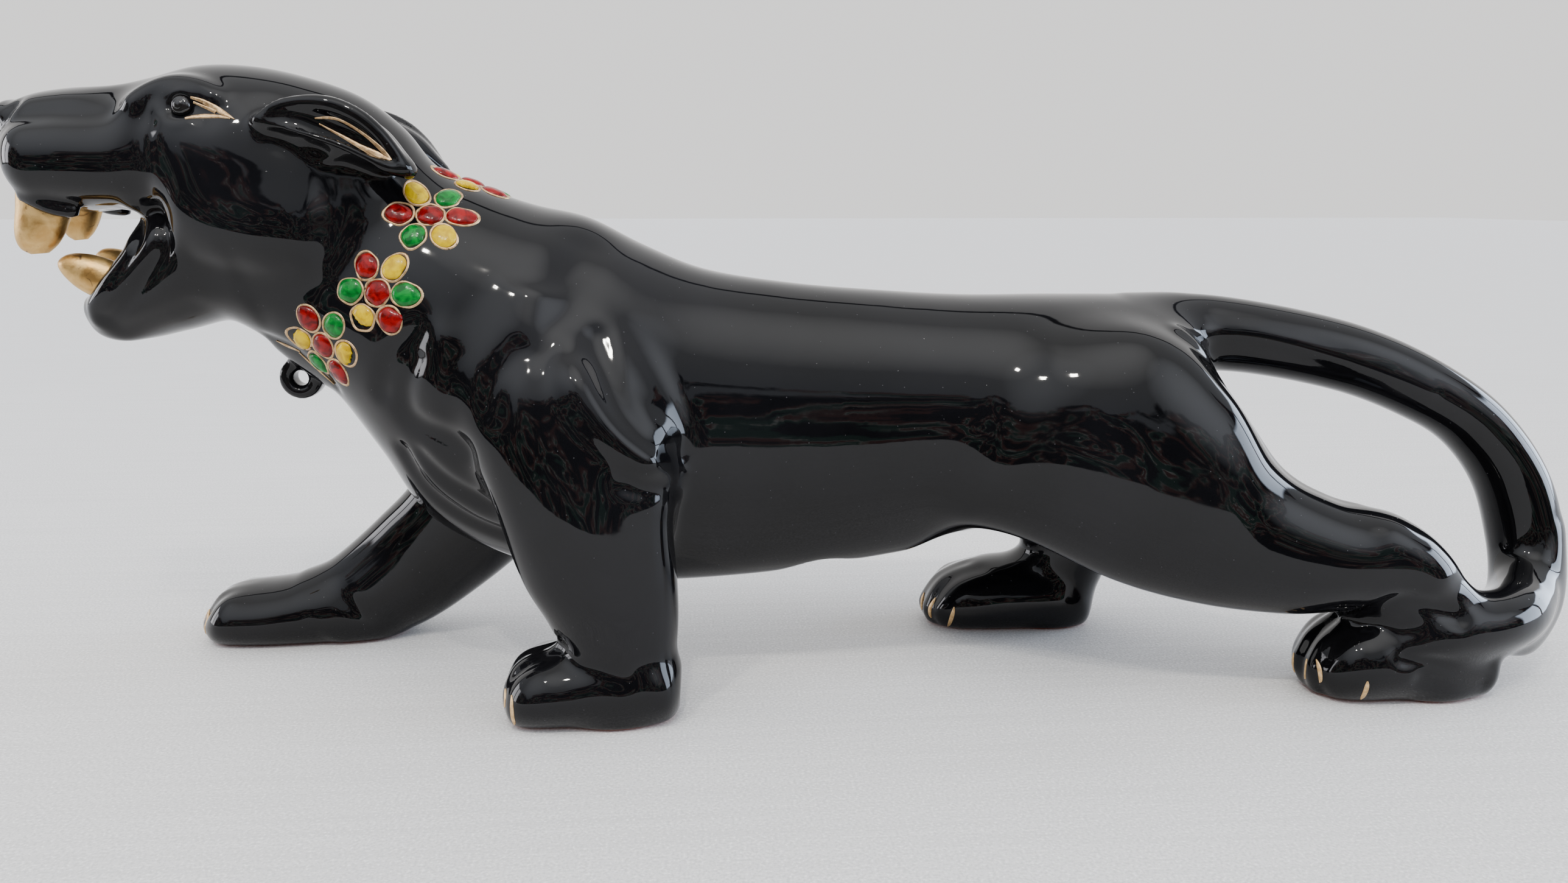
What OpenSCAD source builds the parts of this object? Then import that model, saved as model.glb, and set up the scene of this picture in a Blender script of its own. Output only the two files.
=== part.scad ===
// Panther television lamp: a hollow ceramic big cat with a lampholder and a bulb inside it.
// Millimetres. +Z is up, the head is at -X, the tail at +X, and the panther's left side at -Y.
// The origin is on the table, under the middle of the object.

/* [Ceramic] */
// Wall thickness of the hollow body and head
wall = 5; // [4:0.5:6]
// Sides of the body's and head's sections
body_sides = 28; // [20:4:36]
// Sides of the legs' and tail's sections
limb_sides = 16; // [16:4:24]
// Rings from one station of the body or head to the next
steps = 3; // [2:1:4]
// Rings from one station of a limb to the next
limb_steps = 2; // [2:1:3]

/* [Collar] */
// Radius of one enamel petal
petal_r = 3.5; // [3:0.1:3.7]
// Distance from a flower's centre to its petals
petal_ring = 9.3; // [9:0.1:9.6]
// Height of the enamel above the glaze
enamel_h = 1.1; // [0.8:0.1:1.4]
// Radius of the hole in the throat lug
lug_bore_r = 3; // [2.5:0.1:3.5]

/* [Lampholder] */
// Middle of the belly opening along X
holder_x = -5; // [-8:1:0]
// Radius of the belly opening
opening_r = 15.5; // [15.5:0.1:16]
// Radius of the holder cap's flange
flange_r = 17.7; // [17.5:0.1:17.8]
// Outside radius of the insulating sleeve
sleeve_r = 9; // [8.5:0.1:9]
// Radius of the cord inlet in the grommet
inlet_r = 3.2; // [2.5:0.1:3.4]

/* [Bulb] */
// Radius of the bulb's brass cap
cap_r = 5.95; // [5.9:0.01:5.98]
// Largest radius of the glass envelope
glass_r = 10.5; // [9:0.5:11]
// Thickness of the glass
glass_wall = 0.7; // [0.5:0.1:1]

/* [Hidden] */

$fn = 48;
eps = 0.01;
glaze = [0.03, 0.03, 0.035];
gold = [0.62, 0.47, 0.2];
brass = [0.75, 0.6, 0.3];

// A station is one cross-section: its upper point x, z; its lower point x, z; its half width; its y.
torso_stations = [
    [-128, 173, -176, 110, 29, 0], [-112, 166, -164, 100, 35, 0], [-97, 161, -150, 80, 40, 0],
    [-80, 157, -134, 56, 43, 0], [-62, 148, -104, 41, 43, 0], [-42, 140, -70, 36, 40, 0],
    [-15, 135.5, -30, 37, 37, 0], [12, 133, 8, 42, 36, 0], [45, 131, 42, 48, 37, 0],
    [80, 131, 78, 52, 40, 0], [108, 130, 100, 59, 37, 0], [123, 124, 116, 73, 28, 0],
    [130, 111, 126, 88, 12, 0]];
head_stations = [
    [-128, 173, -176, 110, 29, 0], [-138, 185, -184, 117, 29, 0], [-151, 195, -191, 123, 30, 0],
    [-168, 201, -197, 131, 30, 0], [-184, 204, -202, 141, 29, 0], [-199, 204, -207, 151, 27, 0],
    [-213, 200.5, -212, 156, 24.5, 0], [-226, 198, -222, 158, 22, 0], [-240, 197, -238, 157.5, 21.5, 0],
    [-251, 195, -250, 160, 19.5, 0], [-259, 191, -257, 169, 12, 0], [-263, 184, -262, 180, 3, 0]];
jaw_stations = [
    [-194, 170, -182, 121, 25, 0], [-207, 164, -196, 124, 24, 0], [-220, 158, -210, 121, 22, 0],
    [-230, 148, -223, 118.5, 19, 0], [-237, 138, -234, 120, 13.5, 0], [-241, 133, -240, 126, 5, 0]];
tail_stations = [
    [104, 128, 104, 102, 12, 0], [122, 131, 122, 104, 12.5, 0], [150, 128, 147, 103, 12.5, -2],
    [185, 120, 178, 97, 12, -5], [214, 107.5, 202, 88, 11.5, -7], [238, 91, 219, 78, 11.5, -8],
    [256, 68, 232, 62, 12, -9], [263, 42, 238, 42, 12.5, -12], [259, 22, 236, 31, 12.5, -19],
    [242, 9, 228, 30, 12, -30], [224, 12, 216, 34, 10, -40], [207, 17, 204, 36, 8.5, -46],
    [192, 19, 191, 32, 6, -48], [185, 23, 185, 28, 2, -47]];
front_left_stations = [
    [-104, 134, -82, 134, 9, -28], [-118, 112, -62, 112, 14, -36], [-114, 92, -50, 86, 16, -41],
    [-107, 68, -53, 66, 16.5, -43], [-100, 46, -52, 46, 16, -43], [-92, 30, -52, 30, 15, -42],
    [-90, 14, -54, 14, 15, -41], [-86, -2, -58, -2, 14, -41]];
front_left_paw = [
    [-52, 16, -52, 2, 9, -40], [-56, 20, -56, -2, 15, -40], [-66, 24, -66, -3, 18.5, -39],
    [-84, 24, -84, -3, 19.5, -39], [-97, 22, -98, -3, 19, -39], [-104, 18, -105, -2, 15, -39],
    [-108, 12, -108, 3, 7, -39]];
front_right_stations = [
    [-118, 118, -76, 100, 13, 26], [-136, 90, -88, 62, 16, 32], [-150, 62, -108, 36, 17, 37],
    [-166, 45, -130, 17, 17, 40], [-182, 31, -152, 3, 17.5, 41], [-194, 23, -174, -3, 17.5, 41]];
front_right_paw = [
    [-160, 14, -160, 1, 10, 41], [-168, 20, -166, -3, 16, 41], [-188, 24, -188, -4, 18.5, 40],
    [-205, 22, -207, -4, 19.5, 40], [-220, 20, -222, -3, 18.5, 40], [-228, 14, -228, -1, 13, 40],
    [-232, 8, -232, 3, 6, 40]];
hind_left_stations = [
    [72, 112, 46, 62, 13, -28], [98, 118, 66, 52, 16, -32], [124, 101, 92, 40, 17, -36],
    [140, 78, 118, 32.5, 16.5, -38], [162, 66, 146, 29, 16, -40], [184, 61, 168, 29, 16, -40],
    [202, 47, 180, 22, 15.5, -40], [213, 24, 184, 10, 15, -39], [213, 3, 186, -2, 14, -39]];
hind_left_paw = [
    [220, 15, 220, 3, 10, -38], [215, 22, 215, -3, 15, -38], [200, 27, 200, -3, 18, -38],
    [184, 29, 185, -3, 19, -38], [169, 26, 170, -3, 18, -38], [161, 19, 161, -1, 13, -38],
    [157, 12, 157, 5, 6, -38]];
hind_right_stations = [
    [70, 112, 52, 66, 13, 28], [100, 108, 66, 52, 16, 31], [120, 78, 76, 40, 17, 34],
    [124, 54, 80, 30, 16.5, 36], [119, 34, 76, 20, 16, 37], [110, 12, 76, 6, 15.5, 38],
    [104, -3, 76, -3, 15, 38]];
hind_right_paw = [
    [106, 12, 106, 1, 9, 38], [102, 18, 102, -3, 15, 38], [88, 25, 88, -4, 18, 37],
    [70, 26, 70, -4, 19, 37], [54, 22, 55, -3, 18, 37], [45, 15, 45, -1, 12, 37],
    [41, 9, 41, 4, 5, 37]];
ear_stations = [
    [-173, 189, -173, 185, 2, 22], [-166, 194, -168, 182, 4, 25], [-155, 194, -158, 178, 5, 28],
    [-145, 188, -148, 172, 5, 29], [-138, 179, -141, 169, 4, 28], [-133, 172, -135, 168, 1.5, 27]];
// A canine leans forward from its root to its blunt tip.
upper_canine = [
    [-250, 168, -238, 168, 5.5, 11], [-252, 158, -240, 158, 5.4, 11.5], [-252, 151, -242.5, 150, 4.2, 12],
    [-250, 147, -245, 146.5, 2, 12]];
lower_canine = [
    [-232, 130, -222, 132, 4.6, 10], [-237, 138, -228, 141, 4.2, 10.5], [-241, 144, -235, 147, 3, 11],
    [-242, 148, -239.5, 149, 1.2, 11]];

// Flowers of the collar: place along the neck, angle round it, and turn of the petals.
flowers = [[0.7, 92, 0], [0.66, 43, 0], [0.79, 0, 4], [0.52, -38.5, 4],
    [0.66, 137, 30], [0.79, 180, 26], [0.52, 218.5, 26]];
petal_colours = [[2, 1, 0, 1, 0, 2], [2, 1, 0, 2, 1, 0], [1, 0, 2, 1, 0, 2], [2, 0, 1, 2, 0, 1],
    [0, 2, 1, 0, 2, 1], [2, 0, 1, 2, 0, 1], [1, 0, 2, 1, 0, 2]];

// Petals lie round their centre on the curve of the neck, each on a gold disc.
petal_drop = 0.9;
gold_top = 0.6;
gold_t = 1.8;
outline_w = 0.8;

// Heights in the lampholder
seat_z = 46.5;
boss_z = 52;
boss_r = 21.5;
flange_t = 2;
sleeve_top = 76;
shell_bottom = 56.5;
shell_top = 74;
shell_t = 0.5;
disc_bottom = 52;
disc_top = 55;
cap_bottom = 58;
cap_top = 72;
glass_top = 118;
running_gap = 0.06;
seat_gap = 0.3;

// ---- geometry shared by the ceramic pieces ----

// Catmull-Rom value at t, from 0 to 1, on the stretch from station i to the next
function blend4(a, b, c, d, t) =
    0.5 * (2 * b + (c - a) * t + (2 * a - 5 * b + 4 * c - d) * t * t + (3 * b - 3 * c + d - a) * t * t * t);
function clampi(i, n) = min(max(i, 0), n - 1);
function station(st, i, t) = blend4(st[clampi(i - 1, len(st))], st[clampi(i, len(st))],
    st[clampi(i + 1, len(st))], st[clampi(i + 2, len(st))], t);
function refined(st, k) = [
    for (i = [0 : len(st) - 2], j = [0 : k - 1]) station(st, i, j / k),
    st[len(st) - 1]];

// The centre of a station, its half height as a vector, and a point of its outline
function centre(s) = [(s[0] + s[2]) / 2, s[5], (s[1] + s[3]) / 2];
function rise(s) = [(s[0] - s[2]) / 2, 0, (s[1] - s[3]) / 2];
function outline_point(s, ang) = centre(s) + s[4] * cos(ang) * [0, -1, 0] + sin(ang) * rise(s);

// A station moved inwards by d, and a station mirrored to the panther's other side
function inset(s, d) = let (r = rise(s), k = d / norm(r))
    [s[0] - r[0] * k, s[1] - r[2] * k, s[2] + r[0] * k, s[3] + r[2] * k, s[4] - d, s[5]];
function other_side(s) = [s[0], s[1], s[2], s[3], s[4], -s[5]];

// A closed skin through the stations
module loft(st, sides, k) {
    fine = refined(st, k);
    m = len(fine);
    turn = cross([0, -1, 0], rise(fine[0])) * (centre(fine[1]) - centre(fine[0]));
    points = [for (s = fine, j = [0 : sides - 1]) outline_point(s, 360 * j / sides)];
    quads = [for (i = [0 : m - 2], j = [0 : sides - 1])
        let (a = i * sides + j, b = i * sides + (j + 1) % sides)
        [a, a + sides, b + sides, b]];
    skin = concat([for (q = quads) [q[0], q[1], q[2]]], [for (q = quads) [q[0], q[2], q[3]]],
        [[for (j = [0 : sides - 1]) j], [for (j = [sides - 1 : -1 : 0]) (m - 1) * sides + j]]);
    faces = turn > 0 ? skin : [for (f = skin) [for (j = [len(f) - 1 : -1 : 0]) f[j]]];
    polyhedron(points, faces);
}

// Joins everything under it into one mesh
module cast_piece() {
    resize([0, 0, 0]) children();
}

// The inner wall starts beyond the collar, so that both castings are open there.
module torso_form() {
    loft(torso_stations, body_sides, steps);
}
module torso_hollow() {
    inner = [for (i = [0 : len(torso_stations) - 2]) inset(torso_stations[i], wall)];
    loft(concat([inset(head_stations[1], wall)], inner), body_sides - 8, limb_steps);
}
module head_form() {
    difference() {
        union() {
            loft(head_stations, body_sides, steps);
            loft(jaw_stations, limb_sides, limb_steps);
        }
        mouth_hollow();
    }
}
module mouth_hollow() {
    translate([-235.5, 0, 149]) scale([28, 13.2, 9.4]) sphere(r = 1, $fn = 16);
}
module head_hollow() {
    inner = [for (i = [0 : 6]) inset(head_stations[i], wall)];
    loft(concat([inset(torso_stations[1], wall)], inner), body_sides - 8, limb_steps);
}
module table_cut() {
    translate([-400, -400, -50]) cube([800, 800, 50]);
}
module leg(leg_stations, paw_stations) {
    color(glaze) cast_piece() difference() {
        union() {
            loft(leg_stations, limb_sides, limb_steps);
            loft(paw_stations, limb_sides, limb_steps);
        }
        torso_form();
        table_cut();
    }
}

// ---- ceramic castings ----

module torso() {
    color(glaze) cast_piece() difference() {
        union() {
            difference() {
                torso_form();
                torso_hollow();
            }
            intersection() {
                torso_form();
                translate([holder_x, 0, 0]) cylinder(r = boss_r, h = boss_z);
            }
        }
        translate([holder_x, 0, 0]) cylinder(r = flange_r + seat_gap, h = seat_z);
        translate([holder_x, 0, 0]) cylinder(r = opening_r, h = boss_z + 10);
    }
}
eye_place = [-200.6, -22.6, 190];
eye_tilt = [62, 0, -19];
eye_r = 3;
module at_eye() {
    translate(eye_place) rotate(eye_tilt) children();
}
module eye_hole() {
    at_eye() translate([0, 0, -12]) cylinder(r = eye_r + 0.1, h = 20, $fn = 24);
}
module head() {
    color(glaze) cast_piece() difference() {
        head_form();
        head_hollow();
        eye_hole();
        mirror([0, 1, 0]) eye_hole();
    }
}
module ear(st) {
    color(glaze) cast_piece() difference() {
        loft(st, 16, 2);
        head_form();
        torso_form();
    }
}
module ear_left() { ear([for (s = ear_stations) other_side(s)]); }
module ear_right() { ear(ear_stations); }
module front_left_leg() { leg(front_left_stations, front_left_paw); }
module front_right_leg() { leg(front_right_stations, front_right_paw); }
module hind_left_leg() { leg(hind_left_stations, hind_left_paw); }
module hind_right_leg() { leg(hind_right_stations, hind_right_paw); }
module tail() {
    color(glaze) cast_piece() difference() {
        loft(tail_stations, limb_sides, limb_steps);
        torso_form();
        loft(hind_left_stations, limb_sides, limb_steps);
        loft(hind_left_paw, limb_sides, limb_steps);
        table_cut();
    }
}

// The ring under the throat: a round loop with a straight bore across the panther
lug_place = [-174.5, 0, 104.5];
lug_r = 7.2;
lug_half = 2.6;
module collar_lug() {
    color(glaze) difference() {
        translate(lug_place) rotate([90, 0, 0]) rotate_extrude() difference() {
            translate([lug_bore_r, -lug_half]) square([lug_r - lug_bore_r, 2 * lug_half]);
            for (s = [-1, 1]) translate([lug_r, s * lug_half]) rotate(45) square(2, center = true);
        }
        cast_piece() {
            torso_form();
            head_form();
        }
    }
}

// ---- teeth and eyes ----

module canine(st) {
    color(gold) cast_piece() difference() {
        loft(st, 12, limb_steps);
        head_form();
    }
}
module upper_left_canine() { canine([for (s = upper_canine) other_side(s)]); }
module upper_right_canine() { canine(upper_canine); }
module lower_left_canine() { canine([for (s = lower_canine) other_side(s)]); }
module lower_right_canine() { canine(lower_canine); }

// A glass eye: a domed bead with a straight shank in the eye hole
module eye() {
    color([0.02, 0.02, 0.02]) at_eye() {
        translate([0, 0, -4]) cylinder(r = eye_r, h = 4.2);
        translate([0, 0, 0.2]) intersection() {
            translate([0, 0, -1.5]) sphere(r = sqrt(eye_r * eye_r + 1.5 * 1.5));
            cylinder(r = 2 * eye_r, h = 6);
        }
    }
}
module eye_left() { eye(); }
module eye_right() { mirror([0, 1, 0]) eye(); }

// ---- collar ----

// A place on the neck at t stations from the collar seam, and the frame of the surface there
function neck_point(t, ang) = outline_point(t < 0
    ? station(head_stations, 0, -t) : station(torso_stations, 0, t), ang);
function unit(v) = v / norm(v);
function neck_frame(t, ang) = let (
    p = neck_point(t, ang),
    u = unit(neck_point(t, ang + 2) - p),
    along = unit(neck_point(t + 0.05, ang) - p),
    out = unit(cross(along, u)),
    v = cross(out, u))
    [for (r = [0 : 2]) [u[r], v[r], out[r], p[r]]];
module on_neck(t, ang) {
    m = neck_frame(t, ang);
    multmatrix([m[0], m[1], m[2], [0, 0, 0, 1]]) children();
}
// Petals of one colour in place: 0 red, 1 yellow, 2 green, or every one with -1. Centres are red.
module petal_places(colour) {
    for (i = [0 : len(flowers) - 1]) on_neck(flowers[i][0], flowers[i][1]) {
        if (colour <= 0) children();
        for (k = [0 : 5]) if (colour < 0 || petal_colours[i][k] == colour)
            rotate(flowers[i][2] + 60 * k) translate([petal_ring, 0, -petal_drop]) rotate([0, 14, 0]) children();
    }
}
// A dome of enamel standing on its gold disc, clear of the glaze
module enamel(colour) {
    cast_piece() difference() {
        petal_places(colour) intersection() {
            translate([0, 0, gold_top]) scale([petal_r, petal_r, enamel_h]) sphere(r = 1, $fn = 12);
            translate([0, 0, gold_top + 5]) cube(10, center = true);
        }
        head_form();
        torso_form();
    }
}
module enamel_red() { color([0.55, 0.02, 0.03]) enamel(0); }
module enamel_yellow() { color([0.85, 0.75, 0.02]) enamel(1); }
module enamel_green() { color([0.02, 0.3, 0.08]) enamel(2); }
// Gold discs let into the glaze, whose rims show as the petals' outlines
module collar_gold() {
    color(gold) cast_piece() difference() {
        petal_places(-1) translate([0, 0, gold_top - gold_t]) cylinder(r = petal_r + outline_w, h = gold_t, $fn = 12);
        head_form();
        torso_form();
    }
}

// ---- gold claw stripes ----

// Stripes of gold over the front of the toes, standing a little proud of the glaze
claw_spread = [-12, -4.5, 4, 11.5];
claw_w = 1.8;
claw_t = 0.8;
module claws(front_x, y, foot, paw_stations) {
    proud = [for (s = paw_stations) inset(s, -claw_t)];
    color(gold) cast_piece() difference() {
        intersection() {
            translate([-claw_t, 0, 0]) loft(proud, limb_sides, limb_steps);
            for (c = claw_spread) translate([front_x - 5, y + c - claw_w / 2, foot])
                cube([17, claw_w, 9]);
        }
        loft(paw_stations, limb_sides, limb_steps);
    }
}
module claws_front_left() { claws(-108, -39, 4, front_left_paw); }
module claws_front_right() { claws(-232, 40, 3, front_right_paw); }
module claws_hind_left() { claws(157, -38, 4, hind_left_paw); }
module claws_hind_right() { claws(41, 37, 3.5, hind_right_paw); }

// ---- lampholder: slides down out of the belly opening ----

module holder_axis() {
    translate([holder_x, 0, 0]) children();
}
// A turned piece, from its profile of [radius, height] points
module turned(profile) {
    holder_axis() rotate_extrude() polygon(profile);
}
cup_r = sleeve_r + 1;
cup_top = boss_z;
grommet_hole_r = 4.4;
module holder_cap() {
    color([0.1, 0.09, 0.08]) turned([
        [grommet_hole_r, seat_z - flange_t], [flange_r - 0.6, seat_z - flange_t], [flange_r, seat_z - 1.4],
        [flange_r, seat_z], [cup_r, seat_z], [cup_r, cup_top], [sleeve_r + running_gap, cup_top],
        [sleeve_r + running_gap, seat_z + eps], [grommet_hole_r, seat_z + eps]]);
}
// Two bent brass leaves that grip the rim of the belly opening
clip_w = 6;
clip_t = 0.5;
module holder_clips() {
    reach = opening_r - 0.5;
    color(brass) holder_axis() for (side = [0, 180]) rotate(side) rotate([90, 0, 90])
        translate([0, 0, -clip_w / 2]) linear_extrude(clip_w) polygon([
            [cup_r + 0.1, seat_z + eps], [reach - 1, seat_z + eps], [reach - 1, seat_z + 2], [reach, boss_z + 0.6],
            [cup_r + 2.4, boss_z + 8], [cup_r + 1.9, boss_z + 8], [reach - clip_t, boss_z + 0.6],
            [reach - 1 - clip_t, seat_z + 2], [reach - 1 - clip_t, seat_z + clip_t],
            [cup_r + 0.1, seat_z + clip_t]]);
}
grommet_top = seat_z + 1.2;
grommet_bottom = seat_z - flange_t - 1;
module inlet_grommet() {
    color([0.06, 0.05, 0.05]) turned([
        [inlet_r, grommet_bottom], [grommet_hole_r + 1.6, grommet_bottom],
        [grommet_hole_r + 1.6, seat_z - flange_t], [grommet_hole_r, seat_z - flange_t],
        [grommet_hole_r, seat_z + eps], [grommet_hole_r + 1, seat_z + eps],
        [grommet_hole_r + 1, grommet_top], [inlet_r, grommet_top]]);
}
sleeve_in = sleeve_r - 1.6;
module holder_sleeve() {
    color([0.55, 0.42, 0.28]) turned([[sleeve_in, seat_z + 0.02], [sleeve_r, seat_z + 0.02],
        [sleeve_r, sleeve_top], [sleeve_in, sleeve_top]]);
}
shell_in = cap_r + running_gap;
// A spun brass shell with three rounded threads on its outside
module screw_shell() {
    color(brass) {
        turned([[shell_in, shell_bottom], [shell_in + shell_t, shell_bottom],
            for (i = [0 : 6]) let (z = shell_bottom + 2 + i * 2.5) each [
                [shell_in + shell_t, z], [shell_in + shell_t + 0.4, z + 0.6],
                [shell_in + shell_t + 0.4, z + 1.2], [shell_in + shell_t, z + 1.8]],
            [shell_in + shell_t, shell_top + 1.5], [shell_in, shell_top + 1.5]]);
        for (side = [0, 180]) holder_axis() rotate(side)
            translate([shell_in, -1.5, disc_top]) cube([shell_t, 3, shell_bottom - disc_top + 0.5]);
    }
}
rivet_r = 1.2;
screw_x = 4.8;
screw_hole_r = 0.9;
module contact_disc() {
    color([0.35, 0.2, 0.12]) holder_axis() difference() {
        translate([0, 0, disc_bottom]) cylinder(r = sleeve_in - 0.02, h = disc_top - disc_bottom);
        translate([0, 0, disc_bottom - 1]) cylinder(r = rivet_r + 0.02, h = 5);
        for (s = [-1, 1]) translate([0, s * screw_x, disc_bottom - 1]) cylinder(r = screw_hole_r + 0.02, h = 5);
    }
}
contact_t = 0.4;
// A brass leaf: flat on the disc, with a raised tongue under the bulb's tip
module centre_contact() {
    color(brass) holder_axis() difference() {
        rotate([90, 0, 0]) translate([0, 0, -1.8]) linear_extrude(3.6) polygon([
            [-3.6, disc_top], [2.6, disc_top], [2.6, disc_top + contact_t], [-3.2, disc_top + contact_t],
            [-2, disc_top + 1.2], [1, disc_top + 1.55], [1, disc_top + 1.85], [-2.4, disc_top + 1.6],
            [-3.6, disc_top + 0.6]]);
        translate([0, 0, disc_top - 1]) cylinder(r = rivet_r + 0.02, h = 1 + contact_t + 0.1);
    }
}
module contact_rivet() {
    color([0.7, 0.7, 0.68]) turned([[0, disc_bottom - 0.8], [2.2, disc_bottom - 0.8],
        [2.2, disc_bottom], [rivet_r, disc_bottom], [rivet_r, disc_top + contact_t],
        [1.6, disc_top + contact_t], [1.6, disc_top + contact_t + 0.3], [0, disc_top + contact_t + 0.3]]);
}
module terminal_screws() {
    color(brass) holder_axis() for (s = [-1, 1]) translate([0, s * screw_x, 0]) difference() {
        union() {
            translate([0, 0, disc_bottom - 1.6]) cylinder(r = 1.9, h = 1.6);
            translate([0, 0, disc_bottom]) cylinder(r = screw_hole_r, h = disc_top - disc_bottom);
        }
        translate([-2.5, -0.3, disc_bottom - 2]) cube([5, 0.6, 1]);
    }
}

// ---- bulb: unscrews from the holder ----

neck_r = cap_r - 0.75;
module bulb_glass() {
    outer = [[neck_r, cap_bottom + 2], [neck_r, cap_top + 2], [glass_r * 0.86, 84], [glass_r, 93],
        [glass_r * 0.9, 103], [glass_r * 0.62, 111], [glass_r * 0.3, 116], [0, glass_top]];
    inner = [for (i = [len(outer) - 1 : -1 : 0])
        [max(outer[i][0] - glass_wall, 0), outer[i][1] - (i > 4 ? glass_wall : 0)]];
    color([0.9, 0.88, 0.8, 0.4]) turned(concat(outer, inner));
}
module bulb_cap() {
    color(brass) turned([[neck_r + 0.02, cap_bottom], [cap_r - 0.5, cap_bottom],
        for (i = [0 : 4]) let (z = cap_bottom + 0.6 + i * 2.5) each [
            [cap_r - 0.5, z], [cap_r, z + 0.7], [cap_r, z + 1.3], [cap_r - 0.5, z + 2]],
        [cap_r - 0.5, cap_top], [neck_r + 0.02, cap_top]]);
}
tip_r = 2.4;
module bulb_insulator() {
    color([0.05, 0.05, 0.06]) turned([[tip_r + 0.02, cap_bottom - 0.6], [cap_r - 1, cap_bottom - 0.6],
        [cap_r - 0.5, cap_bottom - eps], [neck_r, cap_bottom - eps], [neck_r, cap_bottom + 1],
        [tip_r + 0.02, cap_bottom + 1]]);
}
module bulb_tip() {
    color([0.7, 0.7, 0.68]) turned([[0, disc_top + 1.95], [tip_r - 1, disc_top + 1.95],
        [tip_r, cap_bottom - 0.6], [tip_r, cap_bottom + 0.9], [0, cap_bottom + 0.9]]);
}
stem_top = 86;
module bulb_stem() {
    color([0.85, 0.87, 0.85]) turned([[0, cap_bottom + 2], [neck_r - glass_wall - 0.3, cap_bottom + 2],
        [2.8, 70], [1.6, 78], [1.6, stem_top], [0, stem_top]]);
}
lead_reach = 5;
lead_top = 98;
// Each lead rises from the stem and leans out to its end of the filament.
module bulb_leads() {
    color([0.7, 0.7, 0.68]) holder_axis() for (s = [-1, 1])
        translate([s * 0.9, 0, stem_top]) rotate([0, s * atan((lead_reach - 0.9) / (lead_top - stem_top)), 0])
            cylinder(r = 0.3, h = norm([lead_reach - 0.9, lead_top - stem_top]), $fn = 16);
}
module filament() {
    color([0.5, 0.5, 0.5]) holder_axis() translate([0, 0.5, lead_top - 2.2]) rotate([90, 0, 0])
        rotate_extrude(angle = 180, $fn = 40) translate([lead_reach - 0.6, 0]) circle(r = 0.25, $fn = 16);
}

torso();
head();
ear_left();
ear_right();
front_left_leg();
front_right_leg();
hind_left_leg();
hind_right_leg();
tail();
collar_lug();
upper_left_canine();
upper_right_canine();
lower_left_canine();
lower_right_canine();
eye_left();
eye_right();
enamel_red();
enamel_yellow();
enamel_green();
collar_gold();
claws_front_left();
claws_front_right();
claws_hind_left();
claws_hind_right();
holder_cap();
holder_clips();
inlet_grommet();
holder_sleeve();
screw_shell();
contact_disc();
centre_contact();
contact_rivet();
terminal_screws();
bulb_glass();
bulb_cap();
bulb_insulator();
bulb_tip();
bulb_stem();
bulb_leads();
filament();
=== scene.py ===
"""Looks of the panther television lamp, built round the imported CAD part.

The ceramic is sculpted as one field of signed distances, in millimetres, so that the glaze runs
over its joins without a seam. It is then cut into one piece for each CAD casting.
"""

import math

import bpy
import numpy as np
import openvdb as vdb
from mathutils import Matrix, Vector


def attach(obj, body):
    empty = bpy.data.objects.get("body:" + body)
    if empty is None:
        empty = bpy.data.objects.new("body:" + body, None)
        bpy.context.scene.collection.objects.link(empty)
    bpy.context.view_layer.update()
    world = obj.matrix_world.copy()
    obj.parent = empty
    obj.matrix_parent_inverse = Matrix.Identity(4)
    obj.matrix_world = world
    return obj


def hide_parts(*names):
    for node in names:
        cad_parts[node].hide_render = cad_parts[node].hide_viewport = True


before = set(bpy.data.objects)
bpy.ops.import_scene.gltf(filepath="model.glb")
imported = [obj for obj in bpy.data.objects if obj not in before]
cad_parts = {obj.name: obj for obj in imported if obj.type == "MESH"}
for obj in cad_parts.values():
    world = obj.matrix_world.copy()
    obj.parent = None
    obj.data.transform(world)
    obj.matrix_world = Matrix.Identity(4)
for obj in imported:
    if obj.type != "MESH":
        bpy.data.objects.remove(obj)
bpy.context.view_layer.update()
MM = 0.001

# ---- sculpting grid ----

VOXEL = 1.0
LOW = np.array([-270.0, -66.0, -6.0])
COUNT = np.array([540, 132, 216]) / VOXEL + 1
COUNT = COUNT.astype(int)
BAND = 18.0  # how far from a surface its field is true, in millimetres
AXES = [LOW[i] + VOXEL * np.arange(COUNT[i], dtype=np.float32) for i in range(3)]


def blend4(a, b, c, d, t):
    """Catmull-Rom value at t between b and c."""
    return 0.5 * (2 * b + (c - a) * t + (2 * a - 5 * b + 4 * c - d) * t * t
                  + (3 * b - 3 * c + d - a) * t * t * t)


def refined(points, steps):
    """A smooth run of points through the given ones, with steps to each stretch."""
    points = np.asarray(points, dtype=float)
    last = len(points) - 1
    out = []
    for i in range(last):
        around = [points[min(max(i + k, 0), last)] for k in (-1, 0, 1, 2)]
        out += [blend4(*around, j / steps) for j in range(steps)]
    return np.array(out + [points[last]])


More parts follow.
